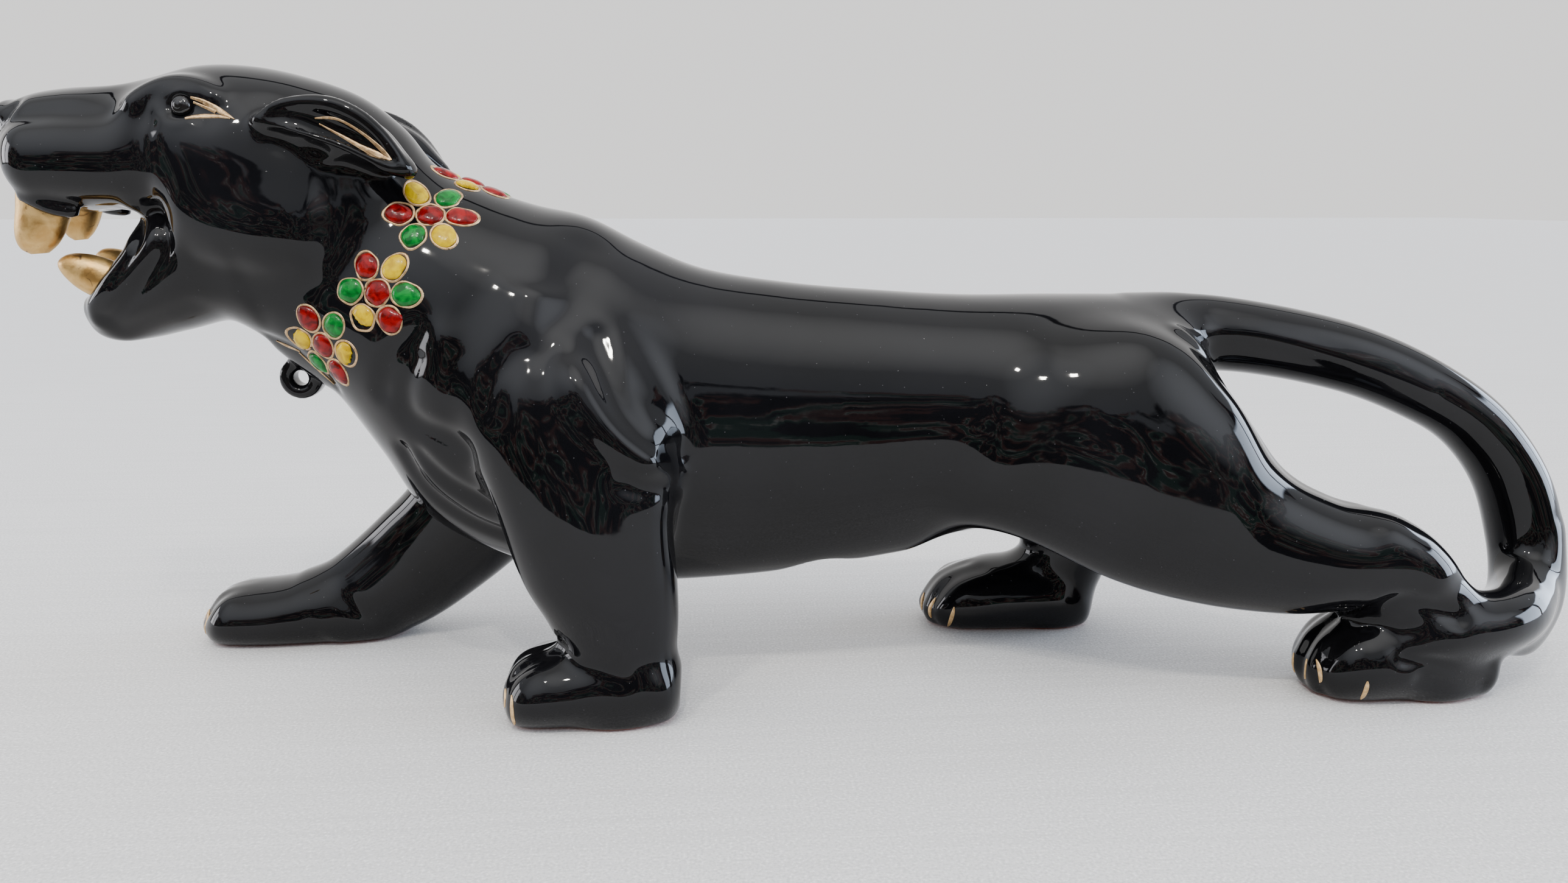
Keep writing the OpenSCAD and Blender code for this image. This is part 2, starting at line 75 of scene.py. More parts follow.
def skin(stations, sides, steps):
    """Points, quads and two end fans of a closed skin through stations of
    [upper x, upper z, lower x, lower z, half width, y]."""
    s = refined(stations, steps)
    rings = len(s)
    zero = np.zeros(rings)
    centre = np.stack([(s[:, 0] + s[:, 2]) / 2, s[:, 5], (s[:, 1] + s[:, 3]) / 2], axis=1)
    rise = np.stack([(s[:, 0] - s[:, 2]) / 2, zero, (s[:, 1] - s[:, 3]) / 2], axis=1)
    width = np.stack([zero, -s[:, 4], zero], axis=1)
    angle = np.linspace(0, 2 * math.pi, sides, endpoint=False)
    ring = (centre[:, None] + np.cos(angle)[None, :, None] * width[:, None]
            + np.sin(angle)[None, :, None] * rise[:, None])
    points = np.concatenate([ring.reshape(-1, 3), centre[[0, -1]]])
    i, j = np.meshgrid(np.arange(rings - 1), np.arange(sides), indexing="ij")
    a = (i * sides + j).ravel()
    b = (i * sides + (j + 1) % sides).ravel()
    quads = np.stack([a, a + sides, b + sides, b], axis=1)
    j = np.arange(sides)
    after = (j + 1) % sides
    end = (rings - 1) * sides
    caps = [np.stack([np.full(sides, len(points) - 2), j, after], axis=1),
            np.stack([np.full(sides, len(points) - 1), end + after, end + j], axis=1)]
    return points, quads, caps


def loft(stations, sides=72, steps=8):
    """Signed distances to a closed skin through stations."""
    points, quads, caps = skin(stations, sides, steps)
    grid = vdb.FloatGrid.createLevelSetFromPolygons(
        points.astype(np.float32), triangles=np.concatenate(caps).astype(np.uint32),
        quads=quads.astype(np.uint32),
        transform=vdb.createLinearTransform(VOXEL), halfWidth=BAND / VOXEL)
    field = np.empty(COUNT, dtype=np.float32)
    grid.copyToArray(field, ijk=tuple(int(round(v)) for v in LOW / VOXEL))
    return field


def join(a, b, k):
    """Union of two fields, rounded where they meet."""
    h = np.clip(0.5 + 0.5 * (b - a) / k, 0, 1)
    return b + (a - b) * h - k * h * (1 - h)


def carve(a, b, k):
    """Field a with b taken out of it, rounded where they meet."""
    return -join(-a, b, k)


def window(points, reach):
    """The part of the grid round some points, as slices and as coordinates."""
    low = np.floor((points.min(0) - reach - LOW) / VOXEL).astype(int).clip(0)
    high = np.minimum(np.ceil((points.max(0) + reach - LOW) / VOXEL).astype(int) + 1, COUNT)
    part = tuple(slice(a, b) for a, b in zip(low, high))
    axes = [AXES[i][part[i]] for i in range(3)]
    return part, np.meshgrid(*axes, indexing="ij", sparse=True)


def tube(xyz, points, radii):
    """Signed distances to a chain of rounded cones."""
    best = None
    for a, b, ra, rb in zip(points[:-1], points[1:], radii[:-1], radii[1:]):
        along = b - a
        t = sum((xyz[i] - a[i]) * along[i] for i in range(3)) / max(along @ along, 1e-9)
        t = np.clip(t, 0, 1)
        d = np.sqrt(sum((xyz[i] - a[i] - t * along[i]) ** 2 for i in range(3))) - (ra + (rb - ra) * t)
        best = d if best is None else np.minimum(best, d)
    return best.astype(np.float32)


def sides_of(points, both):
    """The points, and for both sides of the panther their mirror image too."""
    points = np.asarray(points if len(points) > 1 else points * 2, dtype=float)
    flipped = points * np.array([1, -1, 1] + [1] * (points.shape[1] - 3))
    return [points, flipped] if both else [points]


def roll(points, blend, both=True, out=False):
    """Adds a rounded roll to the clay along points of [x, y, z, radius], or takes it out."""
    for run in sides_of(points, both):
        run = refined(run, 5)
        part, xyz = window(run[:, :3], run[:, 3].max() + 2 * blend + 2)
        d = tube(xyz, run[:, :3], run[:, 3])
        clay[part] = (carve if out else join)(clay[part], d, blend)


def swell(points, reach, amount, both=True):
    """Raises the surface near a run of points by amount, or lowers it, fading out over reach."""
    for run in sides_of(points, both):
        run = refined(run, 5)
        part, xyz = window(run[:, :3], 2.6 * reach)
        d = tube(xyz, run[:, :3], np.zeros(len(run)))
        clay[part] -= amount * np.exp(-(d / reach) ** 2)


def lump(centre, radii, blend, turn=(0, 0, 0), both=True, out=False):
    """Adds an ellipsoid of clay, turned by degrees about x, y and z, or takes it out."""
    for side, run in enumerate(sides_of([centre], both)):
        part, xyz = window(run, max(radii) + 2 * blend + 2)
        sign = -1 if side else 1
        spin = [math.radians(v) for v in (turn[0] * sign, turn[1], turn[2] * sign)]
        m = np.array(Matrix.Rotation(spin[2], 3, "Z") @ Matrix.Rotation(spin[1], 3, "Y")
                     @ Matrix.Rotation(spin[0], 3, "X"))
        p = [xyz[i] - run[0][i] for i in range(3)]
        q = [sum(m[i][k] * p[i] for i in range(3)) for k in range(3)]
        k0 = np.sqrt(sum((q[i] / radii[i]) ** 2 for i in range(3)))
        k1 = np.sqrt(sum((q[i] / radii[i] ** 2) ** 2 for i in range(3)))
        d = (k0 * (k0 - 1) / np.maximum(k1, 1e-6)).astype(np.float32)
        clay[part] = (carve if out else join)(clay[part], d, blend)


def smoothed(field, passes):
    """The field after a light blur, which takes the grid's grain out of the glaze."""
    for _ in range(passes):
        for axis in range(3):
            padded = np.pad(field, [(1, 1) if i == axis else (0, 0) for i in range(3)], mode="edge")
            n = field.shape[axis]
            before, after = [padded.take(range(k, k + n), axis=axis) for k in (0, 2)]
            field = 0.5 * field + 0.25 * (before + after)
    return field


def softened(centre, radii, spread):
    """Blurs the surface by spread millimetres, fading out over an ellipsoid about a centre."""
    part, xyz = window(np.array([centre], dtype=float), 1.6 * max(radii))
    away = sum(((xyz[i] - centre[i]) / radii[i]) ** 2 for i in range(3))
    blurred = smoothed(clay[part], int(2 * (spread / VOXEL) ** 2))
    clay[part] += np.exp(-away ** 2) * (blurred - clay[part])


# ---- stations of the castings, as in the CAD part ----

NECK_SEAM = [-128, 173, -176, 110, 29, 0]
TORSO = [
    NECK_SEAM, [-112, 166, -164, 100, 35, 0], [-97, 161, -150, 80, 40, 0],
    [-80, 157, -134, 56, 43, 0], [-62, 148, -104, 41, 43, 0], [-42, 140, -70, 36, 40, 0],
    [-15, 135.5, -30, 37, 37, 0], [12, 133, 8, 42, 36, 0], [45, 131, 42, 48, 37, 0],
    [80, 131, 78, 52, 40, 0], [108, 130, 100, 59, 37, 0], [123, 124, 116, 73, 28, 0],
    [130, 111, 126, 88, 12, 0]]
HEAD = [
    [-263, 184, -262, 180, 3, 0], [-259, 191, -257, 169, 12, 0], [-251, 195, -250, 160, 19.5, 0],
    [-240, 197, -238, 157.5, 21.5, 0], [-226, 198, -222, 158, 22, 0],
    [-213, 200.5, -212, 156, 24.5, 0], [-199, 204, -207, 151, 27, 0],
    [-184, 204, -202, 141, 29, 0], [-168, 201, -197, 131, 30, 0], [-151, 195, -191, 123, 30, 0],
    [-138, 185, -184, 117, 29, 0], NECK_SEAM]
JAW = [
    [-194, 170, -182, 121, 25, 0], [-207, 164, -196, 124, 24, 0], [-220, 158, -210, 121, 22, 0],
    [-230, 148, -223, 118.5, 19, 0], [-237, 138, -234, 120, 13.5, 0],
    [-241, 133, -240, 126, 5, 0]]
TAIL = [
    [104, 128, 104, 102, 12, 0], [122, 131, 122, 104, 12.5, 0], [150, 128, 147, 103, 12.5, -2],
    [185, 120, 178, 97, 12, -5], [214, 107.5, 202, 88, 11.5, -7], [238, 91, 219, 78, 11.5, -8],
    [256, 68, 232, 62, 12, -9], [263, 42, 238, 42, 12.5, -12], [259, 22, 236, 31, 12.5, -19],
    [242, 9, 228, 30, 12, -30], [224, 12, 216, 34, 10, -40], [207, 17, 204, 36, 8.5, -46],
    [192, 19, 191, 32, 6, -48], [185, 23, 185, 28, 2, -47]]
LEGS = {
    "front_left_leg": ([
        [-104, 134, -82, 134, 9, -28], [-118, 112, -62, 112, 14, -36],
        [-114, 92, -50, 86, 16, -41], [-107, 68, -53, 66, 16.5, -43],
        [-100, 46, -52, 46, 16, -43], [-92, 30, -52, 30, 15, -42],
        [-90, 14, -54, 14, 15, -41], [-86, -2, -58, -2, 14, -41]], [
        [-52, 16, -52, 2, 9, -40], [-56, 20, -56, -2, 15, -40], [-66, 24, -66, -3, 18.5, -39],
        [-84, 24, -84, -3, 19.5, -39], [-97, 22, -98, -3, 19, -39],
        [-104, 18, -105, -2, 15, -39], [-108, 12, -108, 3, 7, -39]]),
    "front_right_leg": ([
        [-118, 118, -76, 100, 13, 26], [-136, 90, -88, 62, 16, 32],
        [-150, 62, -108, 36, 17, 37], [-166, 45, -130, 17, 17, 40],
        [-182, 31, -152, 3, 17.5, 41], [-194, 23, -174, -3, 17.5, 41]], [
        [-160, 14, -160, 1, 10, 41], [-168, 20, -166, -3, 16, 41],
        [-188, 24, -188, -4, 18.5, 40], [-205, 22, -207, -4, 19.5, 40],
        [-220, 20, -222, -3, 18.5, 40], [-228, 14, -228, -1, 13, 40],
        [-232, 8, -232, 3, 6, 40]]),
    "hind_left_leg": ([
        [72, 112, 46, 62, 13, -28], [98, 118, 66, 52, 16, -32], [124, 101, 92, 40, 17, -36],
        [140, 78, 118, 32.5, 16.5, -38], [162, 66, 146, 29, 16, -40],
        [184, 61, 168, 29, 16, -40], [202, 47, 180, 22, 15.5, -40],
        [213, 24, 184, 10, 15, -39], [213, 3, 186, -2, 14, -39]], [
        [220, 15, 220, 3, 10, -38], [215, 22, 215, -3, 15, -38], [200, 27, 200, -3, 18, -38],
        [184, 29, 185, -3, 19, -38], [169, 26, 170, -3, 18, -38], [161, 19, 161, -1, 13, -38],
        [157, 12, 157, 5, 6, -38]]),
    "hind_right_leg": ([
        [70, 112, 52, 66, 13, 28], [100, 108, 66, 52, 16, 31], [120, 78, 76, 40, 17, 34],
        [124, 54, 80, 30, 16.5, 36], [119, 34, 76, 20, 16, 37], [110, 12, 76, 6, 15.5, 38],
        [104, -3, 76, -3, 15, 38]], [
        [106, 12, 106, 1, 9, 38], [102, 18, 102, -3, 15, 38], [88, 25, 88, -4, 18, 37],
        [70, 26, 70, -4, 19, 37], [54, 22, 55, -3, 18, 37], [45, 15, 45, -1, 12, 37],
        [41, 9, 41, 4, 5, 37]])}

# ---- the rough casting ----

# How far each joint is rounded. The left haunch flows into the body the most, but no blend may
# pass BAND, where the fields stop growing.
JAW_BLEND, PAW_BLEND, LEG_BLEND, LEFT_HAUNCH_BLEND, TAIL_BLEND = 5, 6, 9, 17.5, 7
spine_field = loft(HEAD + TORSO[1:], sides=96, steps=10)
clay = join(spine_field, loft(JAW), JAW_BLEND)
leg_fields = {}
for name, (leg, paw) in LEGS.items():
    leg_fields[name] = join(loft(leg), loft(paw), PAW_BLEND)
    clay = join(clay, leg_fields[name], LEFT_HAUNCH_BLEND if name == "hind_left_leg" else LEG_BLEND)
tail_field = loft(TAIL)
clay = join(clay, tail_field, TAIL_BLEND)
SLIDE_STEP = 0.4
OUTSIDE_Y = 62  # just clear of the widest part of the clay


def sampled(fields, points):
    """Trilinear values of one or more fields of the grid at points."""
    g = (points - LOW) / VOXEL
    cell = np.clip(np.floor(g).astype(int), 0, COUNT - 2)
    f = g - cell
    out = [0] * len(fields)
    for corner in np.ndindex(2, 2, 2):
        weight = np.prod([f[:, i] if corner[i] else 1 - f[:, i] for i in range(3)], axis=0)
        at = tuple(cell[:, i] + corner[i] for i in range(3))
        for n, field in enumerate(fields):
            out[n] = out[n] + weight * field[at]
    return out


def slid(points, way, reach):
    """Points moved a direction until they meet the clay, or to the end of the reach."""
    points = np.array(points, dtype=float)
    steps = np.arange(0, reach, SLIDE_STEP)
    trial = points[:, None] + steps[None, :, None] * np.array(way, dtype=float)
    inside = sampled([clay], trial.reshape(-1, 3))[0].reshape(len(points), -1) < 0
    first = np.where(inside.any(1), inside.argmax(1), len(steps) - 1)
    return points + steps[first][:, None] * np.array(way, dtype=float)


def flank(path):
    """[x, z] points as [x, y, z] on the left side of the clay."""
    return slid([[x, -OUTSIDE_Y, z] for x, z in path], (0, 1, 0), OUTSIDE_Y).tolist()




def prism(points, grid):
    """Signed distances to a polygon of [x, z] points, the same at every y."""
    x, _, z = grid
    best, inside = None, False
    for (ax, az), (bx, bz) in zip(points, points[1:] + points[:1]):
        ex, ez = bx - ax, bz - az
        t = np.clip(((x - ax) * ex + (z - az) * ez) / (ex * ex + ez * ez), 0, 1)
        d = np.hypot(x - ax - t * ex, z - az - t * ez)
        best = d if best is None else np.minimum(best, d)
        crosses = ((az > z) != (bz > z)) & (x < ax + (z - az) * ex / (ez if ez else 1e-9))
        inside = inside ^ crosses
    return np.where(inside, -best, best).astype(np.float32)


def drum(grid, x0, radius, low, high):
    """Signed distances to an upright cylinder in the middle plane."""
    x, y, z = grid
    return np.maximum(np.hypot(x - x0, y) - radius, np.maximum(low - z, z - high))


# ---- head ----

MOUTH = [(-290, 160), (-250, 160), (-238, 158.5), (-227, 159), (-221, 157), (-219, 153),
         (-221.5, 148), (-227, 142), (-232, 137), (-237, 133), (-242, 133.5), (-290, 138)]
# Whisker pads, bridge and nose
swell([[-262, 0, 171], [-262, 0, 163]], 9, -3.5, both=False)
roll([[-243.6, -11.8, 173.6, 12.2], [-233, -12.6, 173.8, 12.6], [-221, -13.6, 173.4, 12],
      [-208, -14.6, 173, 10.6]], 3.4)
swell([[-252, -13, 185], [-247.4, -15, 187.2], [-240.3, -16.6, 188.6], [-232, -18, 189.4],
       [-222.5, -19, 189.6]], 4.4, -2)
swell(flank([[-209.4, 184], [-209.8, 179], [-210.2, 173], [-211.4, 167]]), 5, -1.7)
lump([-257.6, 0, 186.4], [7.2, 8.8, 7.2], 1.2, both=False)
swell([[-252, -9.4, 190.6], [-254.4, -9.8, 187], [-256, -9.4, 183], [-258, -8, 179.6],
       [-260, -3, 177.6]], 2.2, -2.2)
roll([[-264, -3.2, 184, 1.7], [-261.4, -6.4, 185, 1.4], [-258, -8.4, 186, 0.8]],
     1.2, out=True)
swell([[-260, 0, 178], [-258.5, 0, 170], [-256, 0, 163]], 2.2, -2.2, both=False)

# Open mouth, seen right through in front of the lips
part, grid = window(np.array([[-262, -30, 133], [-218, 30, 160]]), 6)
clay[part] = carve(clay[part], prism(MOUTH, grid), 2.5)
lump([-221, 0, 150], [17, 12.5, 9.5], 2, turn=(0, 20, 0), both=False, out=True)
roll([[-207, 0, 147, 7], [-219, 0, 143.5, 6.5], [-229, 0, 139, 4.5]], 2, both=False)
LIP_CREASE = flank([[-209.5, 160.4], [-206.8, 156.4], [-205.8, 150.3], [-208.1, 145.5],
                    [-215.2, 137.9], [-224.4, 129.9], [-229.6, 126.5]])
LIP_OUTER = flank([[-217.4, 161.4], [-212.6, 158], [-210.4, 151.5], [-212.3, 147], [-219.1, 139],
                   [-228.5, 129.5], [-232.5, 125.8]])
LIP_GROOVE = flank([[-215.4, 156], [-214.8, 149.7], [-217.5, 144.2], [-224.7, 135.6],
                    [-231.9, 127.9]])
LIP_INNER = flank([[-222, 158.6], [-218.6, 155.6], [-218, 149.6], [-220.6, 144.4],
                   [-227.1, 137.4], [-233.4, 130]])
swell(LIP_CREASE, 2.6, -2.4)
swell(LIP_OUTER, 2.8, 2.4)
swell(LIP_INNER, 2.4, 2.0)
swell(LIP_GROOVE, 1.6, -1.3)
swell([[-236.6, -9, 128.4], [-237.8, 0, 128]], 3, 1.4)
roll([[-251, -15, 163.4, 1.8], [-244.7, -16.6, 161.4, 2.4], [-240, -17, 160, 2.6],
      [-235, -17, 159, 2.2]], 1.2)

# Chin and jaw
swell([[-236, -7, 121], [-229, -10, 118]], 7, 2.0)
swell([[-226, -15, 122], [-214, -18, 125], [-202, -20, 129]], 3.4, -0.9)

# Cheeks, each ending in a jowl in front of the neck
swell([[-198, -28, 157], [-184, -31, 154], [-168, -32, 153]], 12, 3.2)
swell([[-198, -22, 143], [-186, -26, 139], [-174, -28, 136], [-163, -30, 137]], 5.5, -1.8)
swell([[-153, -32, 170], [-150.5, -32, 158], [-154, -32, 145]], 6, -2.2)

# Eyes under heavy brows
swell([[-222, -14, 196]], 6.5, -2.0)
swell(flank([[-206, 189.6], [-198.4, 190.2], [-190, 189]]), 5, -1.6)
BROW = flank([[-212.4, 192], [-209.5, 194.4], [-204.6, 196.6], [-199, 197], [-193.6, 195.8],
              [-188.5, 192.8]])
swell(BROW, 3.2, 3.4)
EYE = flank([[-197.8, 190.3]])[0]
lump([EYE[0], EYE[1] + 2, EYE[2]], [5.6, 3.0, 5.2], 1.2)
lump([EYE[0], EYE[1] - 1.6, EYE[2]], [3.7, 3.2, 3.7], 0.5, out=True)
roll([[EYE[0] + 4.0 * math.cos(a), EYE[1] - 0.4, EYE[2] + 3.9 * math.sin(a), 0.65]
      for a in np.linspace(0, 2 * math.pi, 13)], 0.6)
swell(flank([[-205.5, 189.5], [-203.4, 193.4], [-198.4, 195], [-193.4, 193.6]]), 1.5, 1.0)
swell(flank([[-205.5, 189.5], [-203, 186.4], [-198.6, 185.2], [-194, 186]]), 1.5, 0.9)

# Ears laid back along the neck
EAR_TOP = [[-175, -27, 186, 1.4], [-169, -27.5, 189.6, 2], [-162, -28, 191, 2.3],
           [-153, -28.6, 190.6, 2.6], [-145, -29, 187.4, 2.6], [-139, -29, 182.4, 2.5],
           [-134.5, -28.6, 176.4, 2.3], [-131.5, -28, 171.6, 1.8]]
EAR_FOOT = [[-175, -27, 186, 1.2], [-167, -30.2, 183.4, 1.7], [-158, -32, 181, 2],
            [-149, -32.6, 178, 2.1], [-141, -32, 174, 2.1], [-135.5, -30.4, 171.8, 2],
            [-131.5, -28, 171.2, 1.8]]
swell([[-172, -25, 192], [-160, -26, 195], [-148, -25, 192], [-138, -24, 184]], 4, -1.5)
lump([-152, -31.5, 182.6], [18, 5.6, 4.9], 2, turn=(0, 21, 0), out=True)
roll([[-172, -25, 185, 3], [-162, -23.6, 184.6, 6.4], [-152, -23, 182.8, 7.6],
      [-143, -23, 179.2, 6.8], [-136, -24, 174.4, 4.6], [-131.5, -25, 171.4, 3]], 4)
lump([-151, -32.5, 182.8], [17, 4.6, 4.6], 2, turn=(0, 21, 0), out=True)
roll(EAR_TOP, 1.5)
roll(EAR_FOOT, 1.5)
swell([[-168, -29.5, 180.5], [-155, -32.5, 176.5], [-143, -33, 171.5]], 3.4, -1.4)
ALMOND = flank([[-157.2, 177.4]])[0]
lump(ALMOND, [6.4, 1.6, 3.2], 1.0, turn=(0, 22, 0))
lump([ALMOND[0], ALMOND[1] - 1.2, ALMOND[2]], [4.6, 2.2, 1.9], 0.6, turn=(0, 22, 0), out=True)

# ---- chest, shoulders and forelegs ----

swell(flank([[-128.5, 123.4], [-134.5, 119.3], [-138.9, 113.4], [-141.8, 105.1]]), 3.4, -1.7)
swell(flank([[-130.1, 115.7], [-134.7, 107.4], [-133.6, 97.8], [-124.5, 92.8],
             [-115.3, 87.8]]), 4, -1.7)
swell(flank([[-121, 121], [-124, 111], [-124, 101]]), 6, 1.6)
swell(flank([[-80, 148], [-82.5, 138], [-83.5, 128], [-81.5, 120]]), 8, -2.2, both=False)
swell([[-70, 40, 143], [-84, 43, 128], [-90, 43, 110]], 6, -2.0)
roll([[-80, -43, 103, 8.6], [-71, -44.6, 95, 8.6], [-62, -45.4, 87.4, 8]], 6, both=False)
swell(flank([[-97.9, 118.3], [-104.4, 110.1], [-106, 101]]), 5, -1.6, both=False)
swell(flank([[-84.5, 120], [-80.8, 110.5], [-75.6, 101.4], [-69, 93.6], [-60.4, 86.6]]),
5.6, 2.4, both=False)
BACK_OF_ARM = flank([[-75.6, 122], [-73, 114], [-70.6, 107], [-65.6, 99], [-58.4, 91.6],
                     [-50.4, 85.4]])
swell(BACK_OF_ARM, 4.6, -2.2, both=False)
swell(flank([[-66, 80], [-58.6, 77.6], [-51.6, 76.4]]), 4, -1.5, both=False)
swell(flank([[-137.6, 85], [-131.5, 73.2], [-118.5, 62.2], [-107.5, 57]]), 2.8, -2.4, both=False)
swell(flank([[-132, 85], [-122.5, 76], [-109.5, 68]]), 2.6, -1.8, both=False)
swell([[-150, 26, 88], [-128, 30, 84], [-112, 33, 70]], 5, -2, both=False)
swell([[-180, -7, 115], [-174, -9, 110], [-168, -9, 105]], 4.4, 1.3)
swell([[-182, -11, 120], [-174.5, -14, 118.6], [-169, -15, 115.4], [-163.4, -16, 110],
       [-160, -16, 104]], 2, -1.2)

# ---- haunches and tail ----

HAUNCH_FRONT = [54, 38, 90]
for side in (-1, 1):
    softened([HAUNCH_FRONT[0], side * HAUNCH_FRONT[1], HAUNCH_FRONT[2]], [22, 26, 36], 5.5)
lump([104, -27, 74], [38, 19, 26], 16, turn=(0, 24, 0), both=False)
lump([136, -26, 58], [34, 17, 13], 10, turn=(0, 14, 0), both=False)
swell([[92, 38, 94], [108, 36, 80]], 15, 1.8, both=False)
swell([[113, -25, 121], [123, -27, 111], [129, -30, 100], [137, -33, 87], [153, -34, 71],
       [172, -34, 63]], 3.2, 1.3, both=False)
swell([[122, -12, 119], [145, -14, 118], [175, -17, 109], [205, -20, 98]], 2.4, 0.9, both=False)
swell([[126, -14, 113], [145, -15, 113], [175, -18, 104]], 2.2, -0.8, both=False)
swell([[192, -50, 52], [203, -50, 40], [210, -50, 26]], 6, 0.8, both=False)

roll([[253, -12, 46, 9], [247, -19.5, 33, 9.8], [238.6, -30, 27, 10.4],
      [227, -41, 25.6, 10.2], [213.4, -47.5, 25, 9.4], [198, -51, 24.2, 7.8],
      [186.6, -52, 20.8, 4.4]], 3, both=False)
swell(flank([[181, 17], [191.5, 16], [202.5, 12.6], [214, 12]]), 2.4, -1.8, both=False)
swell(flank([[172, 31], [178, 36.6], [189, 35], [198, 30.6]]), 3, -1.8, both=False)
swell(flank([[176.5, 58.6], [184, 53], [191.6, 45]]), 6, 1.2, both=False)

# ---- paws ----

PAWS = {"front_left": (-108, -39, 4), "front_right": (-232, 40, 3),
        "hind_left": (157, -38, 4), "hind_right": (41, 37, 3.5)}
TOE_GAPS = [-8.4, -0.4, 7.6]
for x, y, _ in PAWS.values():
    for gap in TOE_GAPS:
        back = x + 0.06 * gap ** 2
        swell([[back + 17, y + gap, 25], [back + 8, y + gap, 22.5], [back + 1, y + gap, 14],
               [back, y + gap, 3]], 2.3, -1.4, both=False)
    for toe in (-12.4, -4.4, 3.6, 11.6):
        swell([[x + 6 + 0.05 * toe ** 2, y + toe, 17]], 4.5, 0.8, both=False)
swell([[-88, -50, 26], [-84, -56, 22.5], [-77, -59, 21.5], [-69, -60, 18.5]], 3, -2.0, both=False)
swell([[-90, -32, 27], [-88, -45, 27]], 3, -1.6, both=False)
swell([[-59, -52, 15]], 8, 1.2, both=False)
swell(flank([[188, 11], [199, 9], [212, 7]]), 2.6, -1.6, both=False)
swell([[80, 22, 26], [84, 26, 18], [95, 24, 12]], 3, -1.2, both=False)
swell([[-180, 22, 24], [-168, 22, 12]], 3, -1.4, both=False)

swell([[-60, -15, 42], [-30, -17, 42], [0, -17, 43], [24, -15, 46]], 13, 3.4)

# ---- lug, soles and the belly opening ----

LUG = [-176, 0, 104.8]
LUG_RING, LUG_ROLL, LUG_ROWS = 4.9, 2.3, (-2.8, 0, 2.8)
turns = np.linspace(0, 2 * math.pi, 25)
for y in LUG_ROWS:
    roll([[LUG[0] + LUG_RING * math.cos(a), y, LUG[2] + LUG_RING * math.sin(a), LUG_ROLL]
          for a in turns], 1.0, both=False)

# The hollow round the bulb, the boss, the cap's recess and the hole in the belly
HOLDER_X, WALL, HOLLOW_REACH = -5, 5.5, 62
BOSS_R, BOSS_TOP = 21.5, 52
RECESS_R, RECESS_TOP = 18, 46.5
HOLE_R, HOLE_TOP = 15.6, 70
part, grid = window(np.array([[-70, -60, 30], [60, 60, 140]]), 0)
hollow = np.maximum(spine_field[part] + WALL, np.abs(grid[0] - HOLDER_X) - HOLLOW_REACH)
hollow = np.maximum(hollow, -drum(grid, HOLDER_X, BOSS_R, 0, BOSS_TOP))
clay[part] = carve(clay[part], hollow, 1.5)
clay[part] = carve(clay[part], drum(grid, HOLDER_X, RECESS_R, 0, RECESS_TOP), 0.8)
clay[part] = carve(clay[part], drum(grid, HOLDER_X, HOLE_R, 0, HOLE_TOP), 0.8)
clay = carve(clay, AXES[2][None, None, :] + 0 * clay, 2)  # flat soles at z = 0

# ---- from the field to meshes ----

clay = smoothed(clay, 2)
SLOPES = np.gradient(clay, VOXEL)


def settled(points, rounds=4, stride=VOXEL / 2):
    """Points moved onto the surface of the clay, and the outward normals there."""
    points = np.array(points, dtype=float)
    for _ in range(rounds):
        value, *slope = sampled([clay, *SLOPES], points)
        slope = np.stack(slope, axis=1)
        steep = np.maximum((slope ** 2).sum(1, keepdims=True), 0.05)
        points -= np.clip(value[:, None] * slope / steep, -stride, stride)
    slope = np.stack(sampled(SLOPES, points), axis=1)
    return points, slope / np.maximum(np.linalg.norm(slope, axis=1, keepdims=True), 1e-9)


def unit(v):
    """A vector of the same direction and a length of 1."""
    return v / np.linalg.norm(v)


def mesh_piece(name, points, faces, finish, nodes=(), normals=None):
    """A piece of the lamp from points in millimetres and its faces."""
    mesh = bpy.data.meshes.new(name)
    mesh.from_pydata((np.asarray(points) * MM).tolist(), [], [tuple(f) for f in faces])
    mesh.polygons.foreach_set("use_smooth", np.ones(len(mesh.polygons), dtype=bool))
    mesh.update()
    if normals is not None:
        mesh.normals_split_custom_set_from_vertices(normals.tolist())
    mesh.materials.append(finish)
    piece = bpy.data.objects.new(name, mesh)
    bpy.context.scene.collection.objects.link(piece)
    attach(piece, "root")
    if nodes:
        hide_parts(*nodes)
    return piece


# ---- materials ----


def shader_of(m):
    """The material's Principled shader."""
    return m.node_tree.nodes["Principled BSDF"]


def plain(name, colour, roughness=0.5, metallic=0.0, ior=1.5, **more):
    """A Principled material with its even values on the shader's own sockets."""
    m = bpy.data.materials.new(name)
    m.use_nodes = True
    shader = shader_of(m)
    shader.inputs["Base Color"].default_value = (*colour, 1)
    shader.inputs["Roughness"].default_value = roughness
    shader.inputs["Metallic"].default_value = metallic
    shader.inputs["IOR"].default_value = ior
    for key, value in more.items():
        shader.inputs[key.replace("_", " ")].default_value = value
    return m


def maths(tree, operation, a, b=None, clamp=False):
    """A Math node; its inputs may be sockets or numbers."""
    node = tree.nodes.new("ShaderNodeMath")
    node.operation = operation
    node.use_clamp = clamp
    for i, value in enumerate([a, b]):
        if isinstance(value, (int, float)):
            node.inputs[i].default_value = value
        elif value is not None:
            tree.links.new(value, node.inputs[i])
    return node.outputs[0]


def ramp(tree, value, low, high, out_low=0.0, out_high=1.0):
    """out_low below low, out_high above high, and a straight ramp between."""
    node = tree.nodes.new("ShaderNodeMapRange")
    node.inputs["From Min"].default_value = low
    node.inputs["From Max"].default_value = high
    node.inputs["To Min"].default_value = out_low
    node.inputs["To Max"].default_value = out_high
    tree.links.new(value, node.inputs["Value"])
    return node.outputs["Result"]


